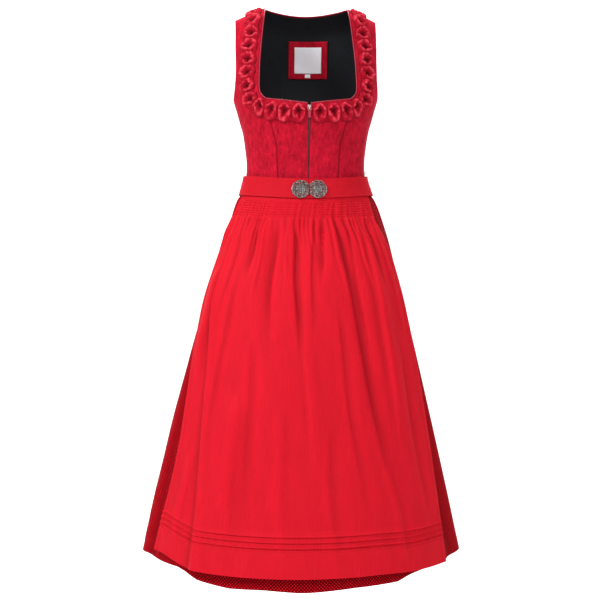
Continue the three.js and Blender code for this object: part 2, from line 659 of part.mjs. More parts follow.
// Each half of the clasp: a scalloped plate cut straight at the meeting line, with a raised middle
// and a ring of small bosses
const CLASP = { radius: 19, scallops: 9, scallop: 1.3, plate: 2.2, middle: 6, rise: 2.4, bosses: 9,
  ring: 12, boss: 2.4, gap: 0.4, centre: 16.5 };
const CLASP_H = -376;
function claspHalf(side) {
  const outline = new THREE.Shape(steps(CLASP.scallops * 6).slice(0, -1).map((at) => {
    const turn = 2 * Math.PI * at;
    const r = CLASP.radius - CLASP.scallop * Math.abs(Math.sin(CLASP.scallops * turn / 2));
    return new THREE.Vector2(r * Math.cos(turn), r * Math.sin(turn));
  }));
  let half = solid(new THREE.ExtrudeGeometry(outline, { depth: CLASP.plate, bevelEnabled: false }));
  const knob = (radius, x, y) => solid(new THREE.CylinderGeometry(radius * 0.6, radius, CLASP.rise, 8)
    .rotateX(Math.PI / 2).translate(x, y, CLASP.plate + CLASP.rise / 2 - 0.2));
  half = half.add(knob(CLASP.middle, 0, 0));
  for (let k = 0; k < CLASP.bosses; k += 1) {
    const turn = (2 * Math.PI * (k + 0.5)) / CLASP.bosses;
    half = half.add(knob(CLASP.boss, CLASP.ring * Math.cos(turn), CLASP.ring * Math.sin(turn)));
  }
  const reach = 4 * CLASP.radius;
  const beyond = CLASP.centre - CLASP.gap / 2;
  half = half.subtract(block(reach, reach, reach, -beyond - reach / 2, 0, 0));
  const geometry = solidGeometry(half);
  if (side < 0) geometry.rotateZ(Math.PI);
  geometry.rotateX(Math.PI / 2);
  const angle = frontAngle(CLASP.centre, CLASP_H);
  const seat = offForm(angle, CLASP_H, BAND_LIFT + 1.6);
  const lean = formNormal(0, CLASP_H);
  geometry.rotateX(Math.asin(-lean.z));
  return geometry.translate(side * CLASP.centre, seat.y, seat.z);
}
add('clasp_left', claspHalf(1), OLD_SILVER);
add('clasp_right', claspHalf(-1), OLD_SILVER);

export default dress;
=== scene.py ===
"""A dirndl as it is worn: velvet bodice, ruched trim, gathered skirt, smocked apron and metal clasp."""
import math
from typing import Callable, NamedTuple

import bpy
import numpy as np
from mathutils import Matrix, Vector


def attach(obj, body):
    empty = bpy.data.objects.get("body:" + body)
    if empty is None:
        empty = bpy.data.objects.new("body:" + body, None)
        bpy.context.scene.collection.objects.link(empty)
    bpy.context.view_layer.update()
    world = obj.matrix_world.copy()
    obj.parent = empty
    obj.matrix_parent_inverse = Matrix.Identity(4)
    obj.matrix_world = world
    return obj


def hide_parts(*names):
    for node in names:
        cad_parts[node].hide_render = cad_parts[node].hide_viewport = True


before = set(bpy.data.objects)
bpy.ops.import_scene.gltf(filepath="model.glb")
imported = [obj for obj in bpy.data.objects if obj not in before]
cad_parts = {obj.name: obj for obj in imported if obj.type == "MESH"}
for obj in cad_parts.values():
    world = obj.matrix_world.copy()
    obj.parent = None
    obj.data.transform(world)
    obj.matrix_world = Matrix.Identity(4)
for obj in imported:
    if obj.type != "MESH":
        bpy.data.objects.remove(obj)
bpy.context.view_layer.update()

bl_info = {
    "name": "Dirndl",
    "version": (1, 0, 0),
    "blender": (4, 5, 0),
    "location": "3D View > Sidebar > Dirndl",
    "description": "Builds the cloth, trim and metal of a dirndl on its construction frame",
    "category": "Object",
}

MM = 0.001
DEGREE = math.pi / 180
BODY = "dress"


# Sizes and colours
def length(name, description, default):
    return bpy.props.FloatProperty(name=name, description=description, default=default,
                                   subtype="DISTANCE", unit="LENGTH")


def colour(name, description, default):
    return bpy.props.FloatVectorProperty(name=name, description=description, default=default,
                                         subtype="COLOR", size=3, min=0, max=1)


class ClothSettings(bpy.types.PropertyGroup):
    """Sizes of the cloth and its seams"""
    velvet: length("Velvet", "Thickness of the velvet", 1.6 * MM)
    lining: length("Lining", "Thickness of the lining", 0.9 * MM)
    skirt: length("Skirt cloth", "Thickness of the skirt's cloth", 1.1 * MM)
    apron: length("Apron cloth", "Thickness of the apron's cloth", 1.1 * MM)
    band: length("Band cloth", "Thickness of the apron's band", 1.8 * MM)
    seam: length("Seam", "Gap between two pieces at a seam", 0.3 * MM)
    stitch: length("Stitch", "Length of one stitch", 2.6 * MM)
    thread: length("Thread", "Radius of the sewing thread", 0.22 * MM)


class TrimSettings(bpy.types.PropertyGroup):
    """Sizes of the ruched trim, the piping and the zip"""
    width: length("Trim width", "Width of the ruched trim", 31 * MM)
    puff: length("Puff", "Height of the trim's folds", 6.5 * MM)
    folds: bpy.props.IntProperty(name="Folds", description="Pleats in one side's trim", default=12)
    piping: length("Piping", "Radius of the neck piping", 1.2 * MM)
    tooth: length("Tooth pitch", "Distance between two zip teeth", 1.5 * MM)


class SkirtSettings(bpy.types.PropertyGroup):
    """Sizes of the skirt and the apron"""
    gather: length("Gather", "Depth of the skirt's gathers", 5 * MM)
    fold: length("Fold", "Depth of the skirt's folds at the hem", 8 * MM)
    smock_pitch: length("Smocking pitch", "Distance between two rows of smocking", 5 * MM)
    smock_depth: length("Smocking depth", "Depth of a row of smocking", 2.2 * MM)
    tuck_rise: length("Tuck rise", "How far a tuck stands out", 2.2 * MM)


class ColourSettings(bpy.types.PropertyGroup):
    """Colours of the cloth and metal"""
    velvet: colour("Velvet", "Red of the velvet", (0.44, 0.006, 0.022))
    velvet_sheen: colour("Velvet sheen", "Tint of the pile's sheen", (1.0, 0.25, 0.36))
    # Painted highlight: paler red painted along the lips of the trim's pleats
    velvet_crest: colour("Velvet crest", "Paler red along the folds of the trim", (0.72, 0.055, 0.085))
    satin: colour("Satin", "Red of the piping", (0.36, 0.014, 0.035))
    skirt: colour("Skirt", "Dark red of the skirt", (0.085, 0.0004, 0.002))
    skirt_dot: colour("Skirt pattern", "Lighter red of the skirt's small pattern", (0.72, 0.006, 0.016))
    apron: colour("Apron", "Bright red of the apron", (0.58, 0.0055, 0.017))
    lining: colour("Lining", "Black of the lining", (0.005, 0.0055, 0.0075))
    label: colour("Label", "White of the woven label", (0.95, 0.91, 0.96))
    silver: colour("Silver", "Bright parts of the old silver", (0.48, 0.46, 0.44))
    recess: colour("Recess", "Dark recesses of the old silver", (0.012, 0.010, 0.010))


class DirndlSettings(bpy.types.PropertyGroup):
    """All sizes and colours of the dirndl"""
    cloth: bpy.props.PointerProperty(type=ClothSettings, name="Cloth", description="Cloth sizes")
    trim: bpy.props.PointerProperty(type=TrimSettings, name="Trim", description="Trim and zip sizes")
    skirt: bpy.props.PointerProperty(type=SkirtSettings, name="Skirt", description="Skirt and apron sizes")
    colours: bpy.props.PointerProperty(type=ColourSettings, name="Colours", description="Colours")


def settings():
    return bpy.context.scene.dirndl


# The form of the dress, in millimetres from the shoulders; the angle runs round from the front
WAIST = -355
HEM = -1135
WAIST_DIP = 10
UNDERARM = -206
SHOULDER_ROUND = 45
SHOULDER_SLOPE = 0.44
SLOPE_END = -120
NECK_SIDE = 87
BACK_NECK_DROP = 8
SIDE_SEAM = math.pi / 2


class Section(NamedTuple):
    """A level of the form: half its width, its depths before and behind, and how far it hangs aside"""
    h: float
    half: float
    front: float
    back: float
    hang: float


SECTIONS = (
    Section(0, 150, 58, 74, 0),
    Section(-30, 153, 62, 78, 0),
    Section(-66, 156, 70, 88, 0),
    Section(-110, 158, 84, 98, 0),
    Section(-150, 158, 97, 103, 0),
    Section(-190, 152, 111, 103, 0),
    Section(-225, 142, 118, 99, 0),
    Section(-262, 132, 112, 93, 0),
    Section(-300, 126, 102, 88, 0),
    Section(-330, 123.5, 97, 86, 0),
    Section(-355, 125, 97, 90, 0),
    Section(-388, 134, 104, 105, 1),
    Section(-426, 149, 116, 122, 2),
    Section(-502, 175, 138, 150, 2),
    Section(-603, 205, 166, 181, -2),
    Section(-703, 231, 190, 207, -5),
    Section(-829, 261, 220, 236, -8),
    Section(-981, 295, 254, 270, -10),
    Section(-1135, 328, 289, 302, -11.5),
)


def lerp(start, end, t):
    return start + (end - start) * t


def smooth(x, low, high):
    """A soft step from 0 at the low value to 1 at the high one"""
    t = np.clip((x - low) / (high - low), 0, 1)
    return t * t * (3 - 2 * t)


def bump(distance, width):
    """One at no distance, and next to nothing from twice the width on"""
    return np.exp(-(distance / width) ** 2)


def column(rows, key, value):
    """A smooth function through two columns of a table whose rows run downwards"""
    keys = np.array([getattr(row, key) for row in rows], float)
    values = np.array([getattr(row, value) for row in rows], float)
    before = np.maximum(np.arange(len(rows)) - 1, 0)
    after = np.minimum(np.arange(len(rows)) + 1, len(rows) - 1)
    slopes = (values[after] - values[before]) / (keys[after] - keys[before])

    def at(x):
        x = np.clip(np.asarray(x, float), keys[-1], keys[0])
        end = np.clip(np.searchsorted(-keys, -x, side="left"), 1, len(rows) - 1)
        start = end - 1
        span = keys[end] - keys[start]
        t = (x - keys[start]) / span
        rise = t * t * (3 - 2 * t)
        return (lerp(values[start], values[end], rise)
                + span * (t * (1 - t) ** 2 * slopes[start] - t * t * (1 - t) * slopes[end]))
    return at


half_width = column(SECTIONS, "h", "half")
front_depth = column(SECTIONS, "h", "front")
back_depth = column(SECTIONS, "h", "back")
hang = column(SECTIONS, "h", "hang")


def form_point(angle, h):
    """Points of the bare form, before any cloth's lift"""
    to_top = np.maximum(1 + h / SHOULDER_ROUND, 0)
    rounding = np.sqrt(np.maximum(1 - to_top ** 2, 0))
    depth = np.where(np.cos(angle) > 0, front_depth(h), back_depth(h)) * rounding + 0.15
    x = half_width(h) * np.sin(angle)
    beyond = np.maximum(np.abs(x) - NECK_SIDE, 0)
    drop = SHOULDER_SLOPE * beyond * np.maximum(1 - h / SLOPE_END, 0)
    dip = (WAIST_DIP * np.maximum(np.cos(angle), 0) ** 2
           * smooth(-h, -WAIST - 60, -WAIST) * (1 - smooth(-h, -WAIST, -WAIST + 350)))
    return np.stack(np.broadcast_arrays(x + hang(h), -depth * np.cos(angle), h - drop - dip), -1)


def unit(vectors):
    """The vectors at a length of one"""
    return vectors / np.maximum(np.linalg.norm(vectors, axis=-1, keepdims=True), 1e-12)


def form_normal(angle, h):
    """The way out of the cloth"""
    step = 1e-4
    lower = np.minimum(h, -0.3) - 0.2
    across = form_point(angle + step, h) - form_point(angle - step, h)
    up = form_point(angle, lower + 0.4) - form_point(angle, lower)
    normal = unit(np.cross(across, up))
    normal[..., 1] *= smooth(-np.asarray(h, float), 0, 4)
    return unit(normal)


def off_form(angle, h, out):
    """Points that stand out from the bare form"""
    angle, h, out = np.broadcast_arrays(angle, h, out)
    return form_point(angle, h) + form_normal(angle, h) * out[..., None]


def front_angle(x, h):
    return np.arcsin(np.clip(x / half_width(h), -1, 1))


def back_angle(x, h):
    return math.pi - front_angle(x, h)


# Meshes
def strip(below, above):
    """Triangles between two lines of (place, index) that start and end together"""
    triangles = []
    i = j = 0
    while i < len(below) - 1 or j < len(above) - 1:
        below_next = below[i + 1][0] if i < len(below) - 1 else math.inf
        above_next = above[j + 1][0] if j < len(above) - 1 else math.inf
        if below_next <= above_next:
            triangles.append((below[i][1], below[i + 1][1], above[j][1]))
            i += 1
        else:
            triangles.append((below[i][1], above[j + 1][1], above[j][1]))
            j += 1
    return triangles


def quads(numbers):
    """Quads of a grid of point numbers, anticlockwise with rows upwards and columns to the right"""
    corners = (numbers[:-1, :-1], numbers[:-1, 1:], numbers[1:, 1:], numbers[1:, :-1])
    return np.stack(corners, -1).reshape(-1, 4).tolist()


def make_object(name, points, faces, material, uvs=None, shade_smooth=True):
    """A mesh object from points in millimetres"""
    mesh = bpy.data.meshes.new(name)
    mesh.from_pydata((np.asarray(points) * MM).tolist(), [], faces)
    mesh.materials.append(material)
    if uvs is not None:
        layer = mesh.uv_layers.new(name="cloth")
        corners = np.empty(len(mesh.loops), np.int32)
        mesh.loops.foreach_get("vertex_index", corners)
        layer.data.foreach_set("uv", (np.asarray(uvs)[corners] * MM).ravel())
    mesh.polygons.foreach_set("use_smooth", [shade_smooth] * len(mesh.polygons))
    mesh.update()
    thing = bpy.data.objects.new(name, mesh)
    bpy.context.collection.objects.link(thing)
    return thing


def wall(name, outer, inner, across, along, material, coarse=(1, 1), mirror=False):
    """A cloth wall between two faces, each a function of places across and along; the inner face
    may take fewer places. Its texture places are metres of cloth."""
    points, uvs, grids = [], [], []
    inner_across = np.unique(np.append(across[::coarse[0]], across[-1]))
    inner_along = np.unique(np.append(along[::coarse[1]], along[-1]))
    for face, u, v in ((outer, across, along), (inner, inner_across, inner_along)):
        place = face(*np.meshgrid(u, v))
        steps_u = np.linalg.norm(np.diff(place, axis=1), axis=-1)
        steps_v = np.linalg.norm(np.diff(place, axis=0), axis=-1).mean(axis=1)
        run = np.concatenate([np.zeros((len(v), 1)), np.cumsum(steps_u, axis=1)], axis=1)
        run -= run[:, -1:] / 2
        rise = np.concatenate([[0], np.cumsum(steps_v)])
        uvs.append(np.stack([run, np.broadcast_to(rise[:, None], run.shape)], -1).reshape(-1, 2))
        start = sum(len(p) for p in points)
        grids.append(np.arange(start, start + place.shape[0] * place.shape[1]).reshape(place.shape[:2]))
        points.append(place.reshape(-1, 3))
    outside, inside = grids

    def edge(grid, places, end, row):
        line = grid[end, :] if row else grid[:, end]
        return list(zip(places.tolist(), line.tolist()))
    faces = quads(outside) + [face[::-1] for face in quads(inside)]
    faces += strip(edge(inside, inner_across, 0, True), edge(outside, across, 0, True))
    faces += strip(edge(outside, across, -1, True), edge(inside, inner_across, -1, True))
    faces += strip(edge(outside, along, 0, False), edge(inside, inner_along, 0, False))
    faces += strip(edge(inside, inner_along, -1, False), edge(outside, along, -1, False))
    points = np.concatenate(points)
    if mirror:
        points = points * (-1, 1, 1)
        faces = [tuple(face)[::-1] for face in faces]
    return make_object(name, points, faces, material, np.concatenate(uvs))


def steps(count):
    return np.linspace(0, 1, count + 1)


def cord_mesh(path, radius, sides=10, squash=1.0, upright=(0.0, -1.0, 0.2)):
    """Points and faces of a cord through a line of points"""
    path = np.asarray(path, float)
    run = unit(np.gradient(path, axis=0))
    reference = np.broadcast_to(upright, run.shape)
    side = unit(np.cross(run, reference))
    out = np.cross(side, run)
    turn = np.linspace(0, 2 * math.pi, sides, endpoint=False)
    radius = np.broadcast_to(radius, (len(path),))[:, None, None]
    rings = (path[:, None] + side[:, None] * np.cos(turn)[None, :, None] * radius
             + out[:, None] * np.sin(turn)[None, :, None] * radius * squash)
    numbers = np.arange(len(path) * sides).reshape(len(path), sides)
    faces = quads(np.concatenate([numbers, numbers[:, :1]], axis=1))
    faces += [tuple(numbers[0][::-1]), tuple(numbers[-1])]
    return rings.reshape(-1, 3), [tuple(int(k) for k in face) for face in faces]


def join_parts(parts):
    """Several (points, faces) as one"""
    points, faces, start = [], [], 0
    for part_points, part_faces in parts:
        points.append(np.asarray(part_points))
        faces += [tuple(k + start for k in face) for face in part_faces]
        start += len(part_points)
    return np.concatenate(points), faces


# The tone of cloth that lies open, free of painted shade, and of the plain waistband, whose cloth this tone
# darkens evenly
OPEN_TONE = 0.6
BAND_TONE = 0.36


def set_tone(piece, values=(), rest=OPEN_TONE):
    """Keeps a value between 0 and 1 at each of the piece's first points, and the rest value at the others;
    the materials paint shade and highlight by this value
    """
    colours = np.full((len(piece.data.vertices), 4), rest, np.float32)
    if len(values):
        colours[:len(values), :3] = np.reshape(values, (-1, 1))
    colours[:, 3] = 1
    layer = piece.data.color_attributes.new(name="tone", type="FLOAT_COLOR", domain="POINT")
    layer.data.foreach_set("color", colours.ravel())


def fold_shade_tone(face, across, along, reach, depth):
    """How much a place stands above the cloth beside it, over a reach in columns and a depth in millimetres:
    0 deep in a fold, 1 on its crest. The skirt and apron paint shade into their folds by it"""
    places = face(*np.meshgrid(across, along))
    padded = np.pad(places, ((0, 0), (reach, reach), (0, 0)), mode="reflect", reflect_type="odd")
    total = np.cumsum(np.pad(padded, ((0, 0), (1, 0), (0, 0))), axis=1)
    around = (total[:, 2 * reach + 1:] - total[:, :-2 * reach - 1]) / (2 * reach + 1)
    away = unit(around * (1, 1, 0))
    return np.clip(0.5 + ((places - around) * away).sum(axis=-1) / depth, 0, 1).ravel()


# Materials
class Value:
    """A shader socket that can be reckoned with: each operation adds a Math node"""

    def __init__(self, tree, socket):
        self.tree = tree
        self.socket = socket

    def math(self, operation, *others, swap=False):
        values = [self, *others]
        if swap:
            values.reverse()
        node = self.tree.nodes.new("ShaderNodeMath")
        node.operation = operation
        for slot, value in zip(node.inputs, values):
            if isinstance(value, Value):
                self.tree.links.new(value.socket, slot)
            else:
                slot.default_value = value
        return Value(self.tree, node.outputs[0])

    def __add__(self, other):
        return self.math("ADD", other)

    def __radd__(self, other):
        return self.math("ADD", other, swap=True)

    def __sub__(self, other):
        return self.math("SUBTRACT", other)

    def __rsub__(self, other):
        return self.math("SUBTRACT", other, swap=True)

    def __mul__(self, other):
        return self.math("MULTIPLY", other)

    def __rmul__(self, other):
        return self.math("MULTIPLY", other, swap=True)

    def sine(self):
        return self.math("SINE")

    def clamp(self):
        return self.math("MAXIMUM", 0.0).math("MINIMUM", 1.0)


# The tone at which cloth counts as open, free of painted shade, is one over this
TONE_GAIN = 1.7


class Shader:
    """A material with one Principled surface, and its other nodes"""

    def __init__(self, name, **constants):
        self.material = bpy.data.materials.new(name)
        self.material.use_nodes = True
        self.tree = self.material.node_tree
        self.surface = self.tree.nodes["Principled BSDF"]
        sockets = {socket.name.lower().replace(" ", "_"): socket for socket in self.surface.inputs}
        for key, value in constants.items():
            sockets[key].default_value = (*value, 1.0) if isinstance(value, tuple) else value

    def node(self, kind, output=0, settings=(), **inputs):
        """Any other node: its type, settings, and the values or links of its sockets"""
        made = self.tree.nodes.new(kind)
        for key, value in dict(settings).items():
            setattr(made, key, value)
        for key, value in inputs.items():
            socket = made.inputs[int(key[1:])] if key[1:].isdigit() else made.inputs[key.replace("_", " ")]
            if isinstance(value, Value):
                self.tree.links.new(value.socket, socket)
            else:
                socket.default_value = value
        return Value(self.tree, made.outputs[output])

    def cloth_places(self):
        """Metres across and up the cloth, and both as one vector"""
        place = self.node("ShaderNodeUVMap", settings={"uv_map": "cloth"})
        u = self.node("ShaderNodeSeparateXYZ", 0, Vector=place)
        v = self.node("ShaderNodeSeparateXYZ", 1, Vector=place)
        return u, v, place

    def object_places(self):
        return self.node("ShaderNodeTexCoord", "Object")

    def stretched(self, place, scale):
        return self.node("ShaderNodeVectorMath", settings={"operation": "MULTIPLY"}, _0=place, _1=scale)

    def noise(self, place, scale, detail=3.0, roughness=0.55):
        return self.node("ShaderNodeTexNoise", Vector=place, Scale=scale, Detail=detail, Roughness=roughness)

    def tone(self):
        """The value kept at the points by set_tone"""
        kept = self.node("ShaderNodeVertexColor", settings={"layer_name": "tone"})
        return self.node("ShaderNodeSeparateColor", 0, Color=kept)

    def painted_shade(self):
        """The mask of painted shade: none deep in a fold, where the painted shade is fullest, and one
        wherever the cloth lies open
        """
        return (self.tone() * TONE_GAIN).clamp()

    def mix(self, factor, first, second):
        rgba = {"data_type": "RGBA"}
        values = {"_0": factor}
        for key, value in (("_6", first), ("_7", second)):
            values[key] = value if isinstance(value, Value) else (*value, 1.0)
        return self.node("ShaderNodeMix", 2, rgba, **values)

    def feed(self, **sockets):
        for key, value in sockets.items():
            self.tree.links.new(value.socket, self.surface.inputs[key.replace("_", " ")])

    def raise_surface(self, height, distance, strength=1.0):
        normal = self.node("ShaderNodeBump", Height=height, Distance=distance, Strength=strength)
        self.feed(Normal=normal)


def shade(rgb, factor):
    return tuple(min(channel * factor, 1.0) for channel in rgb)


MATERIALS = {}


def velvet_material(name="velvet", painted_shade=False, sewn=False):
    """Short cut pile: deep red facing the light, paler where it turns away, with brushed patches. The trim's
    velvet has painted shade deep in its mouths and a painted highlight along its lips, and the bodice's
    velvet has painted shade along its seams
    """
    colours = settings().colours
    shader = Shader(name, roughness=0.9, sheen_weight=0.34, sheen_roughness=0.28,
                    sheen_tint=tuple(colours.velvet_sheen), specular_ior_level=0.06)
    red = tuple(colours.velvet)
    place = shader.object_places()
    patches = shader.noise(shader.stretched(place, (1.0, 1.0, 0.6)), 38.0, 4.0, 0.68)
    brushed = shader.noise(shader.stretched(place, (1.0, 1.0, 0.5)), 150.0, 3.0, 0.7)
    fine = shader.noise(place, 420.0, 3.0, 0.7)
    lie = ((patches - 0.5) * 1.5 + (brushed - 0.5) * 1.9 + (fine - 0.5) * 1.3 + 0.45).clamp()
    if painted_shade:
        # The trim's velvet: painted shade deep in its mouths and on its inner face, and a painted highlight
        # along the lips
        painted_light_tone = shader.tone()
        crest = ((painted_light_tone - 0.62) * 2.2 + (brushed - 0.5) * 0.9).clamp()
        low = shader.mix((painted_light_tone * TONE_GAIN + 0.08).clamp(), shade(red, 0.08), shade(red, 0.85))
        painted_highlight = crest * (fine * 0.5 + 0.6).clamp()
        shader.feed(Base_Color=shader.mix(painted_highlight, low, tuple(colours.velvet_crest)))
    else:
        pile = shader.mix(lie, shade(red, 0.62), shade(red, 1.30))
        # The bodice's velvet: painted shade along its seams
        shader.feed(Base_Color=shader.mix(shader.painted_shade(), shade(red, 0.30), pile) if sewn else pile)
    shader.raise_surface(fine * 0.5 + brushed * 0.5, 0.0008, 0.5)
    return shader.material


def satin_material():
    """Shiny twisted satin of the piping and the zip tape"""
    colours = settings().colours
    shader = Shader("satin", roughness=0.45, specular_ior_level=0.25)
    place = shader.object_places()
    slub = shader.noise(place, 420.0, 2.0)
    shader.feed(Base_Color=shader.mix(slub, shade(colours.satin, 0.7), shade(colours.satin, 1.25)),
                Roughness=slub * 0.2 + 0.28)
    shader.raise_surface(slub, 0.0003, 0.4)
    return shader.material


def apron_material():
    """Plain weave with long upright slubs, and painted shade in its folds"""
    colours = settings().colours
    shader = Shader("apron_cloth", roughness=0.72, specular_ior_level=0.08)
    u, v, place = shader.cloth_places()
    slubs = shader.noise(shader.stretched(place, (1.0, 0.045, 1.0)), 520.0, 3.0, 0.65)
    cross = shader.noise(shader.stretched(place, (0.12, 1.0, 1.0)), 620.0, 2.0, 0.5)
    broad = shader.noise(shader.stretched(place, (1.0, 0.2, 1.0)), 24.0, 2.0, 0.5)
    # Painted shade in the apron's folds
    fold = shader.painted_shade()
    thread_turn = 2 * math.pi / 0.0009
    weave = (u * thread_turn).sine() * (v * thread_turn).sine() * 0.5 + 0.5
    tone = ((slubs - 0.5) * 1.5 + (cross - 0.5) * 0.5 + (broad - 0.5) * 0.7 + 0.5).clamp()
    crest = shader.mix(tone, shade(colours.apron, 0.84), shade(colours.apron, 1.14))
    shader.feed(Base_Color=shader.mix(fold, shade(colours.apron, 0.60), crest), Roughness=slubs * 0.16 + 0.6)
    shader.raise_surface(slubs * 0.6 + cross * 0.2 + weave * 0.2, 0.0004, 0.55)
    return shader.material


def skirt_material():
    """Dark red cotton woven with a small lattice of lighter lozenges, and painted shade in its folds"""
    colours = settings().colours
    shader = Shader("skirt_cloth", roughness=0.8, specular_ior_level=0.02)
    u, v, place = shader.cloth_places()
    pitch = 0.0062
    rising = ((u + v) * (math.pi / pitch)).sine()
    falling = ((u - v) * (math.pi / pitch)).sine()
    lozenge = ((rising * rising * falling * falling - 0.16) * 4.0).clamp()
    wander = shader.noise(place, 60.0, 3.0)
    tone = (lozenge * 0.95 + (wander - 0.5) * 0.3).clamp()
    patterned = shader.mix(tone, tuple(colours.skirt), tuple(colours.skirt_dot))
    # Painted shade in the skirt's folds
    shader.feed(Base_Color=shader.mix(shader.painted_shade(), shade(colours.skirt, 0.35), patterned),
                Roughness=lozenge * -0.14 + 0.8)
    shader.raise_surface(lozenge * 0.7 + shader.noise(place, 900.0, 2.0) * 0.3, 0.0003, 0.6)
    return shader.material


def lining_material():
    """Black twill with fine slanting ribs"""
    colours = settings().colours
    shader = Shader("lining", roughness=0.7, sheen_weight=0.03, specular_ior_level=0.15)
    u, v, place = shader.cloth_places()
    ribs = ((u + v) * (2 * math.pi / 0.0013)).sine() * 0.5 + 0.5
    cloudy = shader.noise(place, 45.0, 3.0)
    tone = (ribs * 0.5 + cloudy * 0.5).clamp()
    shader.feed(Base_Color=shader.mix(tone, shade(colours.lining, 0.7), shade(colours.lining, 1.8)))
    shader.raise_surface(ribs, 0.0002, 0.5)
    return shader.material


def label_material():
    """White satin weave of the blank label"""
    colours = settings().colours
    shader = Shader("label", roughness=0.45, specular_ior_level=0.4)
    _, v, place = shader.cloth_places()
    threads = (v * (2 * math.pi / 0.0007)).sine() * 0.5 + 0.5
    tone = (threads * 0.4 + shader.noise(place, 200.0, 2.0) * 0.6).clamp()
    shader.feed(Base_Color=shader.mix(tone, shade(colours.label, 0.86), shade(colours.label, 1.06)))
    shader.raise_surface(threads, 0.0002, 0.4)
    return shader.material


def metal_material(name, base, roughness):
    """Cast metal, darkened in patches"""
    shader = Shader(name, metallic=1.0, roughness=roughness)
    place = shader.object_places()
    tarnish = shader.noise(place, 180.0, 4.0, 0.6)
    grain = shader.noise(place, 900.0, 2.0)
    shader.feed(Base_Color=shader.mix(((tarnish - 0.35) * 2.2).clamp(), shade(base, 0.45), shade(base, 1.15)),
                Roughness=tarnish * 0.25 + (roughness - 0.12))
    shader.raise_surface(tarnish * 0.6 + grain * 0.4, 0.0003, 0.5)
    return shader.material


def thread_material(name, base):
    """Twisted sewing thread"""
    shader = Shader(name, roughness=0.5, specular_ior_level=0.35)
    place = shader.object_places()
    twist = shader.noise(place, 1500.0, 2.0)
    shader.feed(Base_Color=shader.mix(twist, shade(base, 0.75), shade(base, 1.2)))
    shader.raise_surface(twist, 0.0001, 0.5)
    return shader.material


def floor_material():
    """White paper of the floor and backdrop"""
    shader = Shader("floor", roughness=0.9)
    shader.feed(Base_Color=shader.mix(shader.noise(shader.object_places(), 3.0), (0.86, 0.86, 0.86),
                                      (0.9, 0.9, 0.9)))
    return shader.material


def material(name):
    """The material of that name, made when it is first asked for"""
    colours = settings().colours
    makers = {
        "velvet": velvet_material,
        "trim_velvet": lambda: velvet_material("trim_velvet", painted_shade=True),
        "bodice_velvet": lambda: velvet_material("bodice_velvet", sewn=True),
        "satin": satin_material,
        "apron_cloth": apron_material,
        "skirt_cloth": skirt_material,
        "lining": lining_material,
        "label": label_material,
        "zip_metal": lambda: metal_material("zip_metal", (0.46, 0.42, 0.40), 0.38),
        "zip_teeth": lambda: metal_material("zip_teeth", (0.13, 0.085, 0.085), 0.5),
        "silver": lambda: metal_material("silver", tuple(colours.silver), 0.34),
        "recess": lambda: metal_material("recess", tuple(colours.recess), 0.5),
        "white_thread": lambda: thread_material("white_thread", tuple(colours.label)),
        "red_thread": lambda: thread_material("red_thread", tuple(colours.apron)),
        "dark_thread": lambda: thread_material("dark_thread", tuple(colours.skirt)),
        "floor": floor_material,
    }
    if name not in MATERIALS:
        MATERIALS[name] = makers[name]()
    return MATERIALS[name]


def finish_piece(piece, slot, *nodes):
    """Rides the dress and stands for its construction nodes; the slot is not used"""
    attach(piece, BODY)
    if nodes:
        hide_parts(*nodes)
    return piece


def finish_cloth(piece, slot, node, cut, share):
    """Finishes a piece of cloth that is sewn in all round as finish_piece does, and turns its flat cut from
    millimetres into metres without using it; the share of that rectangle that is cloth is not used"""
    finish_piece(piece, slot, node)
    width, length = (side * MM for side in cut)


# Bodice
class FrontSeam(NamedTuple):
    """A row of the seam between the front's centre and side, from the neck down"""
    row: float
    zip_h: float
    seam_x: float
    seam_h: float


FRONT_SEAM = (
    FrontSeam(5, -214, 88, -202),
    FrontSeam(4, -238, 82, -232),
    FrontSeam(3, -264, 73, -260),
    FrontSeam(2, -294, 65, -290),
    FrontSeam(1, -326, 62.5, -324),
    FrontSeam(0, -355, 61, -355),
)


class StrapEdge(NamedTuple):
    """A row of the front strap: its edges at the neck and at the armhole, from the shoulder down"""
    row: float
    neck_x: float
    neck_h: float
    arm_x: float
    arm_h: float


STRAP = (
    StrapEdge(14, 87, 0, 148, 0),
    StrapEdge(13, 87.5, -4, 148, -4),
    StrapEdge(12, 88.5, -14, 148, -15),
    StrapEdge(11, 91, -34, 148, -38),
    StrapEdge(10, 95.5, -74, 148, -78),
    StrapEdge(9, 99.5, -122, 147.5, -122),
    StrapEdge(8, 100.5, -150, 148, -148),
    StrapEdge(7, 101, -174, 149.5, -172),
    StrapEdge(6, 98, -190, 151.4, -193),
    StrapEdge(5, 88, -202, 150, -206),
)


class BackSeam(NamedTuple):
    """A row of the back's curved seam and of the side panel's outer edge, from the shoulder down"""
    row: float
    x: float
    h: float
    side_h: float


BACK_SEAM = (
    BackSeam(8, 147, -52, -56),
    BackSeam(7, 116, -62, -130),
    BackSeam(6, 88, -80, -178),
    BackSeam(5, 62, -110, -206),
    BackSeam(4, 46, -146, -230),
    BackSeam(3, 38, -190, -258),
    BackSeam(2, 34.5, -250, -290),
    BackSeam(1, 33, -310, -325),
    BackSeam(0, 33, -355, -355),
)


class ArmRow(NamedTuple):
    """A place on the armhole's edge at the back"""
    h: float
    x: float


BACK_ARM = (ArmRow(-56, 147), ArmRow(-130, 147), ArmRow(-178, 149.5), ArmRow(-206, 149))
ZIP_GAP_TOP = 3.5
ZIP_GAP_BOTTOM = 1.0
SEAM_DIP = 1.3
SEAM_REACH = 2.4
# Width of a seam's line of painted shade, as a share of its panel, and how much darker the painted shade
# makes it
SEAM_LINE = 0.02
SEAM_SHADE = 0.38
PLACKET = 8.5
PLACKET_DIP = 0.7
PLACKET_REACH = 1.1
VELVET_OUT = 0.15
LINING_OUT = -3.1
LINING_TOP_ROW = 12.6

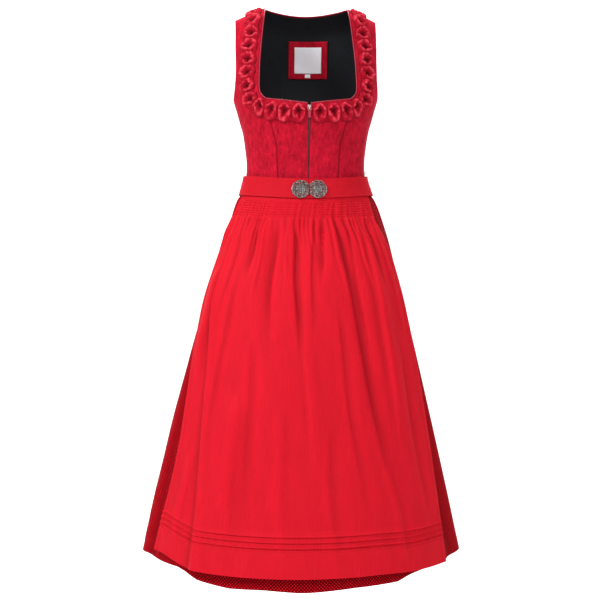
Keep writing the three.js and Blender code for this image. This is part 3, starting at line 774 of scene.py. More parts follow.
seam_x = column(FRONT_SEAM, "row", "seam_x")
seam_h = column(FRONT_SEAM, "row", "seam_h")
zip_h = column(FRONT_SEAM, "row", "zip_h")
neck_x = column(STRAP, "row", "neck_x")
neck_h = column(STRAP, "row", "neck_h")
arm_x = column(STRAP, "row", "arm_x")
arm_h = column(STRAP, "row", "arm_h")
back_x = column(BACK_SEAM, "row", "x")
back_h = column(BACK_SEAM, "row", "h")
back_side_h = column(BACK_SEAM, "row", "side_h")
back_arm_x = column(BACK_ARM, "h", "x")


def front_centre_edges(row):
    gap = lerp(ZIP_GAP_BOTTOM, ZIP_GAP_TOP, row / 5)
    return (front_angle(gap, zip_h(row)), zip_h(row), front_angle(seam_x(row), seam_h(row)), seam_h(row))


def front_side_edges(row):
    low = row <= 5
    left_h = np.where(low, seam_h(row), neck_h(row))
    left = np.where(low, front_angle(seam_x(row), seam_h(row)), front_angle(neck_x(row), neck_h(row)))
    right_h = np.where(low, lerp(WAIST, UNDERARM, row / 5), arm_h(row))
    right = np.where(low, SIDE_SEAM, front_angle(arm_x(row), arm_h(row)))
    return left, left_h, right, right_h


BACK_TOP_ROWS = 13


def back_centre_edges(row):
    climb = np.clip((row - 8) / (BACK_TOP_ROWS - 8), 0, 1)
    h = np.where(row <= 8, back_h(row), -52 * (1 - climb) ** 2.2)
    x = np.where(row <= 8, back_x(row), lerp(147, 148, climb))
    angle = back_angle(x, h)
    return angle, h, 2 * math.pi - angle, h


def back_side_edges(row):
    side = back_side_h(row)
    left = np.where(side <= UNDERARM, SIDE_SEAM, back_angle(back_arm_x(side), side))
    return left, side, back_angle(back_x(row), back_h(row)), back_h(row)


def neck_dip(angle, h):
    x = np.abs(half_width(h) * np.sin(angle))
    side = np.maximum(np.cos(math.pi / 2 * np.minimum(x / NECK_SIDE, 1)), 0)
    return BACK_NECK_DROP * side * smooth(h, -50, 0)


class Crease(NamedTuple):
    """A soft crease of the bodice: its middle, how it leans, its length, half width and depth"""
    angle: float
    h: float
    lean: float
    length: float
    width: float
    depth: float


# Drag lines round the waist, under the bust and below the underarms
BODICE_CREASES = (
    Crease(14, -318, 0.10, 26, 5, -0.8), Crease(-15, -324, -0.16, 30, 5, -0.9),
    Crease(52, -322, 0.24, 34, 6, -1.1), Crease(-55, -315, -0.2, 36, 6, -1.2),
    Crease(48, -337, 0.12, 30, 5, -0.9), Crease(-46, -338, -0.1, 26, 5, -0.8),
    Crease(72, -236, -0.5, 30, 6, -0.9), Crease(-70, -240, 0.55, 32, 7, -1.0),
    Crease(36, -262, 0.9, 26, 7, 0.8), Crease(-34, -258, -0.8, 24, 7, 0.7),
    Crease(150, -318, 0.15, 40, 6, -1.2), Crease(214, -322, -0.2, 38, 6, -1.1),
    Crease(176, -335, 0.03, 46, 5, -0.9), Crease(118, -308, 0.3, 34, 6, -1.1),
    Crease(243, -312, -0.28, 32, 6, -1.0), Crease(160, -150, 0.6, 44, 10, -1.3),
    Crease(203, -160, -0.55, 40, 10, -1.2), Crease(105, -245, 0.6, 30, 7, -1.0),
)


def bodice_creases(angle, h):
    total = np.zeros(np.broadcast(angle, h).shape)
    for crease in BODICE_CREASES:
        middle = crease.angle * DEGREE
        turn = (angle - middle + math.pi) % (2 * math.pi) - math.pi
        across = turn * half_width(crease.h)
        along = across * math.cos(crease.lean) + (h - crease.h) * math.sin(crease.lean)
        away = (h - crease.h) * math.cos(crease.lean) - across * math.sin(crease.lean)
        total += crease.depth * bump(along, crease.length) * bump(away, crease.width)
    ripple = np.sin(h / 11 + 2 * np.sin(3 * angle)) * np.sin(5 * angle + h / 40)
    return total + 0.18 * ripple


def panel_faces(edges, thickness, lift=0.0, drop=None, seams=(True, True), creased=True, placket=False):
    """The outer and inner face of a panel between two edges, over rows of its table"""
    margin = settings().cloth.seam / MM / (3 if creased else 6)

    def face(out, raised):
        def place(across, row):
            left, left_h, right, right_h = edges(row)
            h = lerp(left_h, right_h, across)
            inset = margin / half_width(h)
            angle = lerp(left + inset, right - inset, across)
            fallen = h - (drop(angle, h) if drop else 0)
            lifted = np.full(angle.shape, float(out))
            if raised:
                width = (right - left) * half_width(h)
                dip = bump(across * width, SEAM_REACH) * seams[0]
                dip += bump((1 - across) * width, SEAM_REACH) * seams[1]
                lifted -= SEAM_DIP * dip
            if raised and placket:
                lifted -= PLACKET_DIP * bump(across * width - PLACKET, PLACKET_REACH)
            if creased:
                lifted += bodice_creases(angle, h) * smooth(-h, 20, 60)
            return off_form(angle, fallen, lifted)
        return place
    return face(lift, True), face(lift - thickness, False)


def seam_steps(count):
    """Places across a panel, closer together at its two edges"""
    ends = np.array([0.004, 0.010, 0.018, 0.030])
    return np.unique(np.concatenate([[0, 1], ends, 1 - ends, np.linspace(0.045, 0.955, count)]))


def paint_seam_shade(piece, across, rows, seams):
    """Painted shade along the seams at a panel's two edges"""
    seam = bump(across, SEAM_LINE) * seams[0] + bump(1 - across, SEAM_LINE) * seams[1]
    set_tone(piece, np.tile(OPEN_TONE - SEAM_SHADE * seam, len(rows)))


def joined(*ranges):
    """The places of several ranges, each once, in order"""
    return np.unique(np.concatenate(ranges))


class VelvetPanel(NamedTuple):
    """A panel that the bodice has at the left and the right, with the flat cut that shows of it"""
    name: str
    edges: Callable
    columns: int
    rows: np.ndarray
    seams: tuple
    cut: tuple
    share: float


VELVET_PANELS = (
    VelvetPanel("bodice_front_centre", front_centre_edges, 26, np.linspace(0, 5, 61), (False, True),
                (92, 168), 0.73),
    VelvetPanel("bodice_front_side", front_side_edges, 30,
                joined(np.linspace(0, 13, 131), np.linspace(13, 14, 9)), (True, True), (150, 376), 0.58),
    VelvetPanel("bodice_back_side", back_side_edges, 30, np.linspace(0, 8, 101), (True, True),
                (176, 300), 0.72),
)
BACK_COLUMNS = 72


def build_bodice():
    """The velvet panels, the paired ones first"""
    thickness = settings().cloth.velvet / MM
    velvet = material("bodice_velvet")
    for panel in VELVET_PANELS:
        outer, inner = panel_faces(panel.edges, thickness, VELVET_OUT, seams=panel.seams,
                                   placket=not panel.seams[0])
        columns = seam_steps(panel.columns)
        for side in ("left", "right"):
            node = f"{panel.name}_{side}"
            piece = wall(f"velvet_{node}", outer, inner, columns, panel.rows, velvet,
                         mirror=side == "right")
            dress_inside_black(piece)
            paint_seam_shade(piece, columns, panel.rows, panel.seams)
            finish_cloth(piece, "velvet", node, panel.cut, panel.share)
    columns = seam_steps(BACK_COLUMNS)
    rows = joined(np.linspace(0, 8, 101), np.linspace(8, BACK_TOP_ROWS, 41))
    outer, inner = panel_faces(back_centre_edges, thickness, VELVET_OUT, neck_dip)
    piece = wall("velvet_back_centre", outer, inner, columns, rows, velvet)
    paint_seam_shade(piece, columns, rows, (True, True))
    finish_cloth(piece, "velvet", "bodice_back_centre", (300, 372), 0.48)


def dress_inside_black(piece):
    """The inside of a panel is faced with the lining's black"""
    mesh = piece.data
    mesh.materials.append(material("lining"))
    for polygon in mesh.polygons:
        outward = Vector((polygon.center.x, polygon.center.y, 0))
        if polygon.normal.dot(outward) < 0 and abs(polygon.normal.z) < 0.9:
            polygon.material_index = 1


def build_lining():
    """The black lining of the back panels"""
    thickness = settings().cloth.lining / MM
    black = material("lining")
    outer, inner = panel_faces(back_centre_edges, thickness, LINING_OUT, neck_dip, creased=False)
    rows = joined(np.linspace(0, 8, 61), np.linspace(8, LINING_TOP_ROW, 24))
    piece = wall("lining_centre", outer, inner, seam_steps(48), rows, black)
    finish_cloth(piece, "lining", "lining_back_centre", (298, 368), 0.47)
    outer, inner = panel_faces(back_side_edges, thickness, LINING_OUT, creased=False)
    for side in ("left", "right"):
        piece = wall(f"lining_side_{side}", outer, inner, seam_steps(20), np.linspace(0, 8, 61), black,
                     mirror=side == "right")
        finish_cloth(piece, "lining", f"lining_back_{side}", (174, 298), 0.72)


class Patch(NamedTuple):
    """A flat patch on the inside of the back: its size and top, its face off the form, and its thickness"""
    width: float
    top: float
    height: float
    out: float
    thickness: float


PATCH_X = 11
VELVET_PATCH = Patch(86, -52, 80, -6.0, 0.8)
BLANK_LABEL = Patch(60, -64, 56, -8.2, 0.5)
SIZE_TAB = Patch(12, -121.5, 8, -8.2, 0.5)


def patch_faces(patch):
    """The two faces of a patch, from its own places across and up; the one that shows is padded a little"""
    def face(out, puffed):
        def place(across, along):
            x = PATCH_X + (0.5 - across) * patch.width
            h = lerp(patch.top - patch.height, patch.top, along)
            edge = np.minimum(np.minimum(across, 1 - across) * patch.width,
                              np.minimum(along, 1 - along) * patch.height)
            return off_form(back_angle(x, h), h, out - puffed * (1 - np.exp(-edge / 2.5)))
        return place
    return face(patch.out, 0), face(patch.out - patch.thickness, 0.5)


def build_labels():
    """The velvet patch with its blank label, and the blank tab below it"""
    places = steps(28)
    patch = wall("patch_velvet", *patch_faces(VELVET_PATCH), places, places, material("velvet"))
    finish_cloth(patch, "velvet", "label_patch", (86, 80), 1.0)
    label = wall("label_blank", *patch_faces(BLANK_LABEL), places, places, material("label"))
    finish_cloth(label, "label", "label", (60, 56), 1.0)
    tab = wall("size_tab_blank", *patch_faces(SIZE_TAB), steps(6), steps(6), material("label"))
    finish_piece(tab, "label", "size_tab")


# Neckline: ruched trim and piping
class LinePoint(NamedTuple):
    """A point of the trim's middle line, at the front"""
    x: float
    h: float


TRIM_LINE = (
    LinePoint(7, -231), LinePoint(48, -228), LinePoint(82, -222), LinePoint(106, -209),
    LinePoint(118, -190), LinePoint(120.5, -165), LinePoint(119, -120), LinePoint(114.5, -70),
    LinePoint(109, -30), LinePoint(106, -8), LinePoint(105, -1),
)


def evenly(points, count):
    """A smooth line through points, as evenly spaced points and its directions"""
    points = np.asarray(points, float)
    chord = np.concatenate([[0], np.cumsum(np.linalg.norm(np.diff(points, axis=0), axis=1))])
    slopes = np.gradient(points, chord, axis=0)
    dense = np.linspace(0, chord[-1], 1200)
    end = np.clip(np.searchsorted(chord, dense), 1, len(chord) - 1)
    start = end - 1
    span = (chord[end] - chord[start])[:, None]
    t = ((dense - chord[start])[:, None]) / span
    line = (lerp(points[start], points[end], t * t * (3 - 2 * t))
            + span * (t * (1 - t) ** 2 * slopes[start] - t * t * (1 - t) * slopes[end]))
    travelled = np.concatenate([[0], np.cumsum(np.linalg.norm(np.diff(line, axis=0), axis=1))])
    even = np.linspace(0, travelled[-1], count)
    placed = np.stack([np.interp(even, travelled, line[:, k]) for k in range(3)], -1)
    return placed, unit(np.gradient(placed, axis=0))


def trim_frame(count):
    """The trim's middle line, the way out of the form along it, and the way across it, away from the neck"""
    x = np.array([point.x for point in TRIM_LINE], float)
    h = np.array([point.h for point in TRIM_LINE], float)
    angle = front_angle(x, h)
    middle, run = evenly(form_point(angle, h), count)
    normals, _ = evenly(form_normal(angle, h) * 40 + form_point(angle, h), count)
    normal = unit(normals - middle)
    return middle, normal, unit(np.cross(normal, run))


TRIM_ALONG = 30
TRIM_ACROSS = 30
TRIM_OUT = 1.9
TRIM_THICKNESS = 0.8
RIBBON_SHARE = 0.8
# The trim's edge at the neck lies further from its middle line than the other edge
INNER_REACH = 1.36


def mouth_middle(number):
    """The mouths sit low along the front and in the middle of the straps"""
    return lerp(0.14, -0.12, smooth(number, 2.5, 5)) + 0.06 * np.sin(4.3 * number + 1)


def mouth_distance(phase, a, number):
    """How far a place lies from the middle of its pleat's mouth: one at the crest of the lips"""
    middle = mouth_middle(number)
    lean = 0.16 * np.sin(2.4 * number + 0.8)
    around = np.arctan2(a - middle, (phase - 0.5) * 2)
    p = np.abs(phase - 0.5 - lean * (a - middle)) / (0.40 + 0.03 * np.sin(3.1 * number))
    q = np.abs(a - middle) / (0.84 - np.sign(a - middle) * middle)
    away = (p ** 1.25 + q ** 1.25) ** (1 / 1.25)
    return away * (1 + 0.13 * np.sin(3 * around + 2.1 * number) + 0.07 * np.sin(8 * around + number))


def mouth_height(phase, a, number):
    """Height of the ruche between flat, 0, and the crest of its highest lip, 1"""
    away = mouth_distance(phase, a, number)
    around = np.arctan2(a - mouth_middle(number), (phase - 0.5) * 2)
    lively = 0.84 + 0.16 * np.sin(3.7 * number + 1.9 * np.sign(a - mouth_middle(number)))
    lips = lively * np.exp(-((away - 1) / np.where(away < 1, 0.36, 0.46)) ** 2)
    lips += 0.24 * np.cos(5 * around + 1.7 * number) ** 3 * bump(away - 0.72, 0.3)
    lips -= 0.20 * np.cos(4 * around - 1.1 * number) ** 4 * bump(away - 1.05, 0.3)
    joint = np.minimum(phase, 1 - phase)
    turn = np.arctan2(a, joint * 2.2)
    fans = 0.55 * np.abs(np.cos(3.5 * turn + 0.4 * number)) ** 3 * bump(np.hypot(joint * 2.2, a) - 0.5, 0.42)
    ends = 0.30 + 0.70 * smooth(joint, 0, 0.10)
    return np.clip(0.05 + (lips + fans * smooth(away, 0.85, 1.2)) * ends, 0, 1.15)


def build_trim():
    """Box pleats pinched together so that each stands open as a mouth between two soft lips"""
    sizes = settings().trim
    folds = sizes.folds
    count = folds * TRIM_ALONG + 1
    middle, normal, outward = trim_frame(count)
    half = sizes.width / MM / 2
    puff = sizes.puff / MM

    def unit_places(across, along):
        fold = along * folds
        number = np.minimum(np.floor(fold), folds - 1)
        return fold - number, 1 - 2 * across, number

    def sheet(height_of, reach_of):
        def place(across, along):
            i = np.rint(along * (count - 1)).astype(int)
            phase, a, number = unit_places(across, along)
            w = a * reach_of(phase, number, a) * half * np.where(a < 0, INNER_REACH, 1.0)
            height = height_of(phase, a, number)
            return middle[i] + outward[i] * w[..., None] + normal[i] * height[..., None]
        return place

    def upper(phase, a, number):
        edge = smooth(1 - np.abs(a), 0, 0.10)
        return TRIM_OUT + puff * mouth_height(phase, a, number) * (0.25 + 0.75 * edge)

    def reach(phase, number, a):
        pinch = 0.22 + 0.06 * np.sin(5.1 * number + np.sign(a))
        return 1.06 - pinch * np.abs(np.cos(math.pi * (phase + 0.06 * np.sin(3 * number)))) ** 2

    velvet = material("trim_velvet")
    across = steps(TRIM_ACROSS)
    along = steps(folds * TRIM_ALONG)
    # Painted shade deep in the mouths and a painted highlight along the lips
    tone = mouth_painted_light(*unit_places(*np.meshgrid(across, along))).ravel()
    outer = sheet(upper, reach)
    inner = sheet(lambda phase, a, number: upper(phase, a, number) - TRIM_THICKNESS, reach)
    ribbon_outer = sheet(lambda phase, a, number: np.full(phase.shape, 1.0), lambda *where: RIBBON_SHARE)
    ribbon_inner = sheet(lambda phase, a, number: np.full(phase.shape, 0.4), lambda *where: RIBBON_SHARE)
    for side in ("left", "right"):
        flip = side == "right"
        piece = wall(f"ruched_trim_{side}", outer, inner, across, along, velvet, coarse=(2, 2), mirror=flip)
        set_tone(piece, tone, 0)
        finish_piece(piece, "velvet", f"neck_trim_{side}")
        ribbon = wall(f"trim_ribbon_{side}", ribbon_outer, ribbon_inner, steps(4), along[::2], velvet,
                      mirror=flip)
        # The ribbon under the trim is painted in the deepest painted shade
        set_tone(ribbon, rest=0)
        finish_cloth(ribbon, "velvet", f"neck_trim_{side}", (29, 372), 1.0)


def mouth_painted_light(phase, a, number):
    """Painted light of the trim: painted shade deep in a mouth, and a painted highlight most along the lips
    """
    away = mouth_distance(phase, a, number)
    return smooth(away, 0.05, 0.8) * 0.42 + 0.58 * np.clip(mouth_height(phase, a, number), 0, 1) ** 2


BACK_PIPING_X = 85.5
SHOULDER_HALF = 150


def piping_path(angle, h):
    """The line of the piping just inside the neck edge"""
    radius = settings().trim.piping / MM
    edge = off_form(angle, h, -0.8)
    run = unit(np.gradient(edge, axis=0))
    side = unit(np.cross(form_normal(angle, h), run))
    return edge + side * (radius + 0.3)


def build_piping():
    """Rolled satin along the neck's edge, at both sides and behind"""
    radius = settings().trim.piping / MM
    satin = material("satin")
    across = np.linspace(0, 1, 30)
    left, left_h, right, right_h = front_centre_edges(5.0)
    rows = np.linspace(5.1, 13.9, 110)
    angle = np.concatenate([lerp(left, right, across), front_angle(neck_x(rows), neck_h(rows))])
    h = np.concatenate([lerp(left_h, right_h, across), neck_h(rows)])
    path, _ = evenly(piping_path(angle, h)[::3], 220)
    for side, sign in (("left", 1), ("right", -1)):
        points, faces = cord_mesh(path * (sign, 1, 1), radius)
        piece = make_object(f"satin_piping_{side}", points, faces, satin)
        finish_piece(piece, "satin", f"neck_piping_{side}")
    reach = math.asin(BACK_PIPING_X / SHOULDER_HALF)
    angle = np.linspace(math.pi - reach, math.pi + reach, 90)
    path, _ = evenly(piping_path(angle, -neck_dip(angle, 0.0) - 0.02)[::3], 120)
    points, faces = cord_mesh(path, radius)
    finish_piece(make_object("satin_piping_back", points, faces, satin), "satin", "neck_piping_back")


# Sewing
def stitch_line(path):
    """Points and faces of a row of stitches along a line on the cloth"""
    cloth = settings().cloth
    path = np.asarray(path, float)
    travelled = np.concatenate([[0], np.cumsum(np.linalg.norm(np.diff(path, axis=0), axis=1))])
    pitch = cloth.stitch / MM
    parts = []
    for start in np.arange(0, travelled[-1] - pitch, pitch):
        along = start + pitch * np.array([0.08, 0.3, 0.66, 0.86])
        line = np.stack([np.interp(along, travelled, path[:, k]) for k in range(3)], -1)
        parts.append(cord_mesh(line, cloth.thread / MM * np.array([0.35, 1.0, 1.0, 0.35]), sides=5))
    return parts


def build_stitches(name, paths, thread, slot):
    parts = [part for path in paths for part in stitch_line(path)]
    points, faces = join_parts(parts)
    finish_piece(make_object(name, points, faces, material(thread)), slot)


# Zip
ZIP_BOTTOM = -352
ZIP_TOP = -217
TAPE_HALF = 12
TAPE_OUT = -3.2
TAPE_THICKNESS = 0.8
TEETH_OUT = -1.9


def tape_face(out):
    """One face of the zip's tape"""
    def place(across, along):
        h = lerp(ZIP_BOTTOM, ZIP_TOP, along)
        return off_form(front_angle((2 * across - 1) * TAPE_HALF, h), h, out)
    return place


def build_zip():
    """The tape behind the front edges, and teeth that show wider towards the top"""
    tape = wall("tape_cloth", tape_face(TAPE_OUT), tape_face(TAPE_OUT - TAPE_THICKNESS), steps(12),
                steps(40), material("satin"))
    finish_cloth(tape, "satin", "zip_tape", (24, 150), 1.0)
    pitch = settings().trim.tooth / MM
    parts = []
    for number, h in enumerate(np.arange(ZIP_BOTTOM + 2, ZIP_TOP - 1, pitch)):
        half = lerp(0.5, 2.4, (h - ZIP_BOTTOM) / (ZIP_TOP - ZIP_BOTTOM))
        sign = 1 if number % 2 else -1
        base = off_form(front_angle(sign * half * 0.3, h), np.array(h), np.array(TEETH_OUT))
        size = np.array([half * 0.75, 0.65, pitch * 0.42])
        corners = np.array([(x, y, z) for x in (-1, 1) for y in (-1, 1) for z in (-1, 1)], float)
        corners[:, 0] *= np.where(corners[:, 1] < 0, 0.75, 1.0)
        block = base + corners * size
        faces = [(0, 1, 3, 2), (4, 6, 7, 5), (0, 4, 5, 1), (2, 3, 7, 6), (0, 2, 6, 4), (1, 5, 7, 3)]
        parts.append((block, faces))
    points, faces = join_parts(parts)
    chain = make_object("zip_teeth", points, faces, material("zip_teeth"), shade_smooth=False)
    finish_piece(chain, "zip_metal", "zip_chain")


def keep_node(name, material_name):
    """A construction node whose shape is right takes a finished material"""
    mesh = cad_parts[name].data
    mesh.materials.clear()
    mesh.materials.append(material(material_name))


# Skirt
SKIRT_FOLDS = 15
GATHER_END = -530
SKIRT_STITCH = -1109.0


class SkirtPanel(NamedTuple):
    """One panel: where it runs round from the front, in degrees, its gathers, the share of its folds,
    its cut width in metres and the waistband that it hangs from"""
    name: str
    start: float
    end: float
    gathers: int
    folds: float
    cut: float
    band: str


SKIRT_PANELS = (
    SkirtPanel("skirt_front", -66, 60, 0, 0.0225, 0.59, "left"),
    SkirtPanel("skirt_left", 60, 132, 17, 1, 0.36, "left"),
    SkirtPanel("skirt_back", 132, 222, 21, 1, 0.47, "back"),
    SkirtPanel("skirt_right", 222, 294, 17, 1, 0.36, "right"),
)


class Hanging(NamedTuple):
    """A long soft crease of the skirt: its top and bottom places, depth and half width"""
    top: float
    top_at: float
    bottom: float
    bottom_at: float
    depth: float
    width: float


SKIRT_CREASES = (
    Hanging(-420, 96, -760, 92, -2.6, 2.2), Hanging(-405, 108, -690, 113, -3.0, 2.0),
    Hanging(-430, 121, -900, 124, 2.8, 2.4), Hanging(-410, 137, -820, 133, -3.0, 2.2),
    Hanging(-400, 149, -650, 152, -2.4, 1.8), Hanging(-440, 163, -980, 160, 3.0, 2.6),
    Hanging(-405, 176, -740, 179, -3.0, 2.1), Hanging(-420, 190, -860, 187, -2.6, 2.4),
    Hanging(-410, 204, -700, 207, 2.6, 2.0), Hanging(-430, 217, -930, 221, -3.0, 2.3),
    Hanging(-405, 233, -680, 229, -2.6, 2.0), Hanging(-425, 246, -840, 251, 2.8, 2.5),
    Hanging(-410, 261, -760, 265, -2.8, 2.1), Hanging(-620, 103, -1090, 100, 2.2, 3.0),
    Hanging(-640, 143, -1110, 146, -2.4, 3.2), Hanging(-600, 196, -1080, 199, 2.4, 3.0),
    Hanging(-650, 240, -1100, 236, -2.4, 3.0), Hanging(-600, 256, -1020, 254, 2.2, 2.6),
)


def hanging_creases(creases, degrees, h, steep=1.0):
    """Troughs and ridges that start softly, swerve from top to bottom and die away; a steep crease is
    narrow on one side, like a fold of cloth"""
    total = np.zeros(np.broadcast(degrees, h).shape)
    for crease in creases:
        along = (h - crease.top) / (crease.bottom - crease.top)
        middle = lerp(crease.top_at, crease.bottom_at, along) + 0.5 * np.sin(7 * along + crease.top_at)
        reach = smooth(along, -0.1, 0.15) * (1 - smooth(along, 0.6, 1.15))
        beside = degrees - middle
        side = 1 if math.sin(3 * crease.top_at) > 0 else -1
        width = crease.width * np.where(beside * side > 0, 1 / steep, steep ** 0.5)
        total += crease.depth * bump(beside, width) * reach
    return total


class HemPlace(NamedTuple):
    """How far the skirt's hem is drawn up, in degrees from the front"""
    degrees: float
    up: float


HEM_PLACES = (
    HemPlace(-180, 11), HemPlace(-150, 16), HemPlace(-120, 12), HemPlace(-90, 17), HemPlace(-71, 23),
    HemPlace(-60, 21), HemPlace(-48, 21), HemPlace(-39.6, 6), HemPlace(-27, 0), HemPlace(-15, 2),
    HemPlace(-2, -2), HemPlace(5, 0), HemPlace(15, 3), HemPlace(33, 4), HemPlace(34.6, 11),
    HemPlace(48, 17), HemPlace(60, 16), HemPlace(90, 14), HemPlace(115, 17), HemPlace(145, 12),
    HemPlace(180, 11),
)
LOW_FOLD = 0.4


def drawn_up(degrees, level):
    """The hem's ups and downs, dying away up the skirt"""
    turned = (degrees + 180) % 360 - 180
    places = np.array([place.degrees for place in HEM_PLACES])
    rise = np.interp(turned, places, np.array([place.up for place in HEM_PLACES]))
    return rise * (1 - smooth(level, HEM, -900))


def skirt_fold(panel, angle, across, h):
    """The broad folds, deeper towards the hem and shallower where two panels meet"""
    front = SKIRT_PANELS[0]
    first = front.folds if panel.start == front.end else LOW_FOLD
    last = front.folds if panel.end == front.start + 360 else LOW_FOLD
    fold = settings().skirt.fold / MM * smooth(-h, 420, 1135) * panel.folds
    fold *= np.cos(SKIRT_FOLDS * angle + 1.3 * np.sin(3 * angle))
    if panel.folds == 1:
        fold *= lerp(first, 1, smooth(across, 0, 0.10)) * lerp(last, 1, smooth(1 - across, 0, 0.10))
    return fold


def skirt_gathers(panel, angle, across, h):
    """The gathers below the waistband, smaller ones between them and the creases that hang from them"""
    degrees = angle / DEGREE
    back = smooth(np.abs(np.where(degrees > 180, degrees - 360, degrees)), 80, 88)
    edge = np.minimum(across, 1 - across)
    off_seam = smooth(edge, 0, 0.03)
    uneven = 0.75 + 0.25 * np.sin(9.1 * angle + 2 * np.sin(4.3 * angle))
    sway = 0.16 * np.sin(h / 37 + 3 * angle)
    waves = 0.5 - 0.5 * np.cos(2 * math.pi * (panel.gathers * across + sway * off_seam))
    calm = smooth(edge, 0, 0.5 / panel.gathers)
    fall = smooth(h, GATHER_END - 60 * uneven, -415) * (1 - smooth(h, -405, -385))
    lifted = settings().skirt.gather / MM * back * fall * calm * waves * uneven
    small = np.sin(2.7 * panel.gathers * across * 2 * math.pi + h / 23)
    lifted += 0.45 * small * back * smooth(h, -520, -430) * (1 - smooth(h, -402, -388))
    lifted += 2.0 * hanging_creases(SKIRT_CREASES, degrees, h, 1.6) * back * off_seam
    return lifted + 0.5 * np.sin(h / 29 + 11 * angle) * np.sin(6 * angle) * back * smooth(-h, 450, 560)


def skirt_faces(panel, thickness):
    """The two faces of a skirt panel, from places across and heights; the outer one shows its hem"""
    margin = settings().cloth.seam / MM / 5

    def face(out, hemmed):
        def place(across, h):
            inset = margin / half_width(h)
            angle = lerp(panel.start * DEGREE + inset, panel.end * DEGREE - inset, across)
            lifted = out + skirt_fold(panel, angle, across, h)
            if panel.gathers:
                lifted += skirt_gathers(panel, angle, across, h)
            if hemmed:
                lifted += 0.35 * smooth(-h, 1108, 1110) - 0.25 * bump(h - SKIRT_STITCH, 1.2)
            return off_form(angle, h + drawn_up(angle / DEGREE, h), lifted)
        return place
    return face(0, True), face(-thickness, False)


def build_skirt():
    """The four panels of the skirt, and the stitches of the hem that shows"""
    thickness = settings().cloth.skirt / MM
    cloth = material("skirt_cloth")
    rows = joined([HEM, HEM + 0.6, HEM + 2], np.linspace(-1131, -1111, 6),
                  [SKIRT_STITCH - 1.4, SKIRT_STITCH, SKIRT_STITCH + 1.4],
                  np.linspace(-1100, -540, 50), np.linspace(-532, -400, 34), np.linspace(-396, -355.3, 8))
    lines = []
    for panel in SKIRT_PANELS:
        columns = steps(max(panel.gathers * 8, 48))
        outer, inner = skirt_faces(panel, thickness)
        piece = wall(f"{panel.name}_cloth", outer, inner, columns, rows, cloth, coarse=(2, 2))
        # Painted shade in the folds of the skirt, by how far each place lies below the cloth beside it
        set_tone(piece, fold_shade_tone(outer, columns, rows, 6, 9.0))
        finish_piece(piece, "skirt_cloth", panel.name)
        if panel.gathers:
            line = outer(np.linspace(0.002, 0.998, 400), np.full(400, SKIRT_STITCH))
            lines.append(line + (0, 0, 0.1))
    build_stitches("skirt_hem_stitches", lines, "dark_thread", "skirt_cloth")


# Apron
class ApronEdge(NamedTuple):
    """Where the apron's two edges hang, in degrees from the front, and its lift off the form"""
    h: float
    right: float
    left: float
    lift: float


APRON_EDGES = (
    ApronEdge(-364, -78, 72, 2.2), ApronEdge(-437, -78, 60, 3), ApronEdge(-510, -77, 62, 5),
    ApronEdge(-600, -74, 60, 8), ApronEdge(-710, -66, 59, 10), ApronEdge(-890, -60, 56.5, 11),
    ApronEdge(-1110, -62.5, 52.5, 12),
)
APRON_FOLDS = (
    Hanging(-450, -24.4, -680, -20, -4, 3), Hanging(-455, -10.5, -700, -4.5, -3.5, 2.6),
    Hanging(-450, 8.6, -560, 5.5, -3.5, 2.6), Hanging(-446, 18.5, -940, 31, -4.5, 3.4),
    Hanging(-440, 47, -580, 44, -3.5, 3.5), Hanging(-440, -39.7, -560, -38, -4, 2.8),
    Hanging(-480, 39.5, -900, 38, 5, 4.5), Hanging(-545, -64, -760, -57, 4, 4),
    Hanging(-800, -31, -1060, -30, 4, 6),
)
# Smaller creases between the main folds, each in its own size
APRON_CREASES = (
    Hanging(-440, -52, -640, -49, -1.8, 1.6), Hanging(-442, -33, -620, -30, 1.8, 1.5),
    Hanging(-446, -17, -580, -14, 1.7, 1.3), Hanging(-444, 1.5, -660, 1, -1.9, 1.5),
    Hanging(-440, 14, -600, 20, 1.6, 1.4), Hanging(-445, 26, -700, 28, -1.8, 1.5),
    Hanging(-442, 33, -600, 36, 1.6, 1.3), Hanging(-445, 54, -660, 53, 1.7, 1.5),
    Hanging(-560, -44, -900, -41, -1.8, 2.2), Hanging(-600, -3, -930, 2, 1.6, 2.4),
    Hanging(-640, 14, -1000, 20, -1.7, 2.0), Hanging(-700, -26, -1010, -22, -1.6, 2.2),
    Hanging(-720, 46, -1040, 47, -1.9, 2.2), Hanging(-820, -12, -1085, -10, 1.8, 2.8),
    Hanging(-860, 8, -1090, 9, -1.6, 2.4), Hanging(-900, -50, -1090, -52, 1.6, 2.4),
    Hanging(-930, 30, -1095, 33, 1.7, 2.2),
)


class Overlap(NamedTuple):
    """The line down the right of the apron where one width laps over the next"""
    h: float
    at: float


OVERLAP = (
    Overlap(-450, -60), Overlap(-600, -58), Overlap(-710, -50.5), Overlap(-830, -45.5),
    Overlap(-1000, -41), Overlap(-1120, -39.8),
)
OVERLAP_STEP = 8
GATHERS = 30
PLEATS = 108
SMOCK_TOP = -404
SMOCK_END = -434
APRON_TOP = -366
APRON_HEM = -1112
TUCKS = (52, 62, 72)
TUCK_HEIGHT = 4.5
TUCK_PLACES = (-2, -1.3, -0.8, -0.25, 0, 0.25, 1, 2.2, 3.4, 4.4, 5.4)
HEM_STITCH = 45.5
HEM_REACH = 76
ABOVE_HEM = 200
BILLOW = 4.5
LEAST_LIFT = 1.6

apron_right = column(APRON_EDGES, "h", "right")
apron_left = column(APRON_EDGES, "h", "left")
apron_lift = column(APRON_EDGES, "h", "lift")
overlap_at = column(OVERLAP, "h", "at")


def hem_line(degrees):
    """The apron's hem hangs higher at the wearer's right"""
    return lerp(APRON_HEM, -1095, smooth(-degrees, 38, 60)) - 4 * smooth(degrees, 20, 40)


def least(values, lowest, hardness=1.6):
    """Values kept above the lowest one, with a soft turn"""
    return lowest + np.logaddexp(0, hardness * (values - lowest)) / hardness


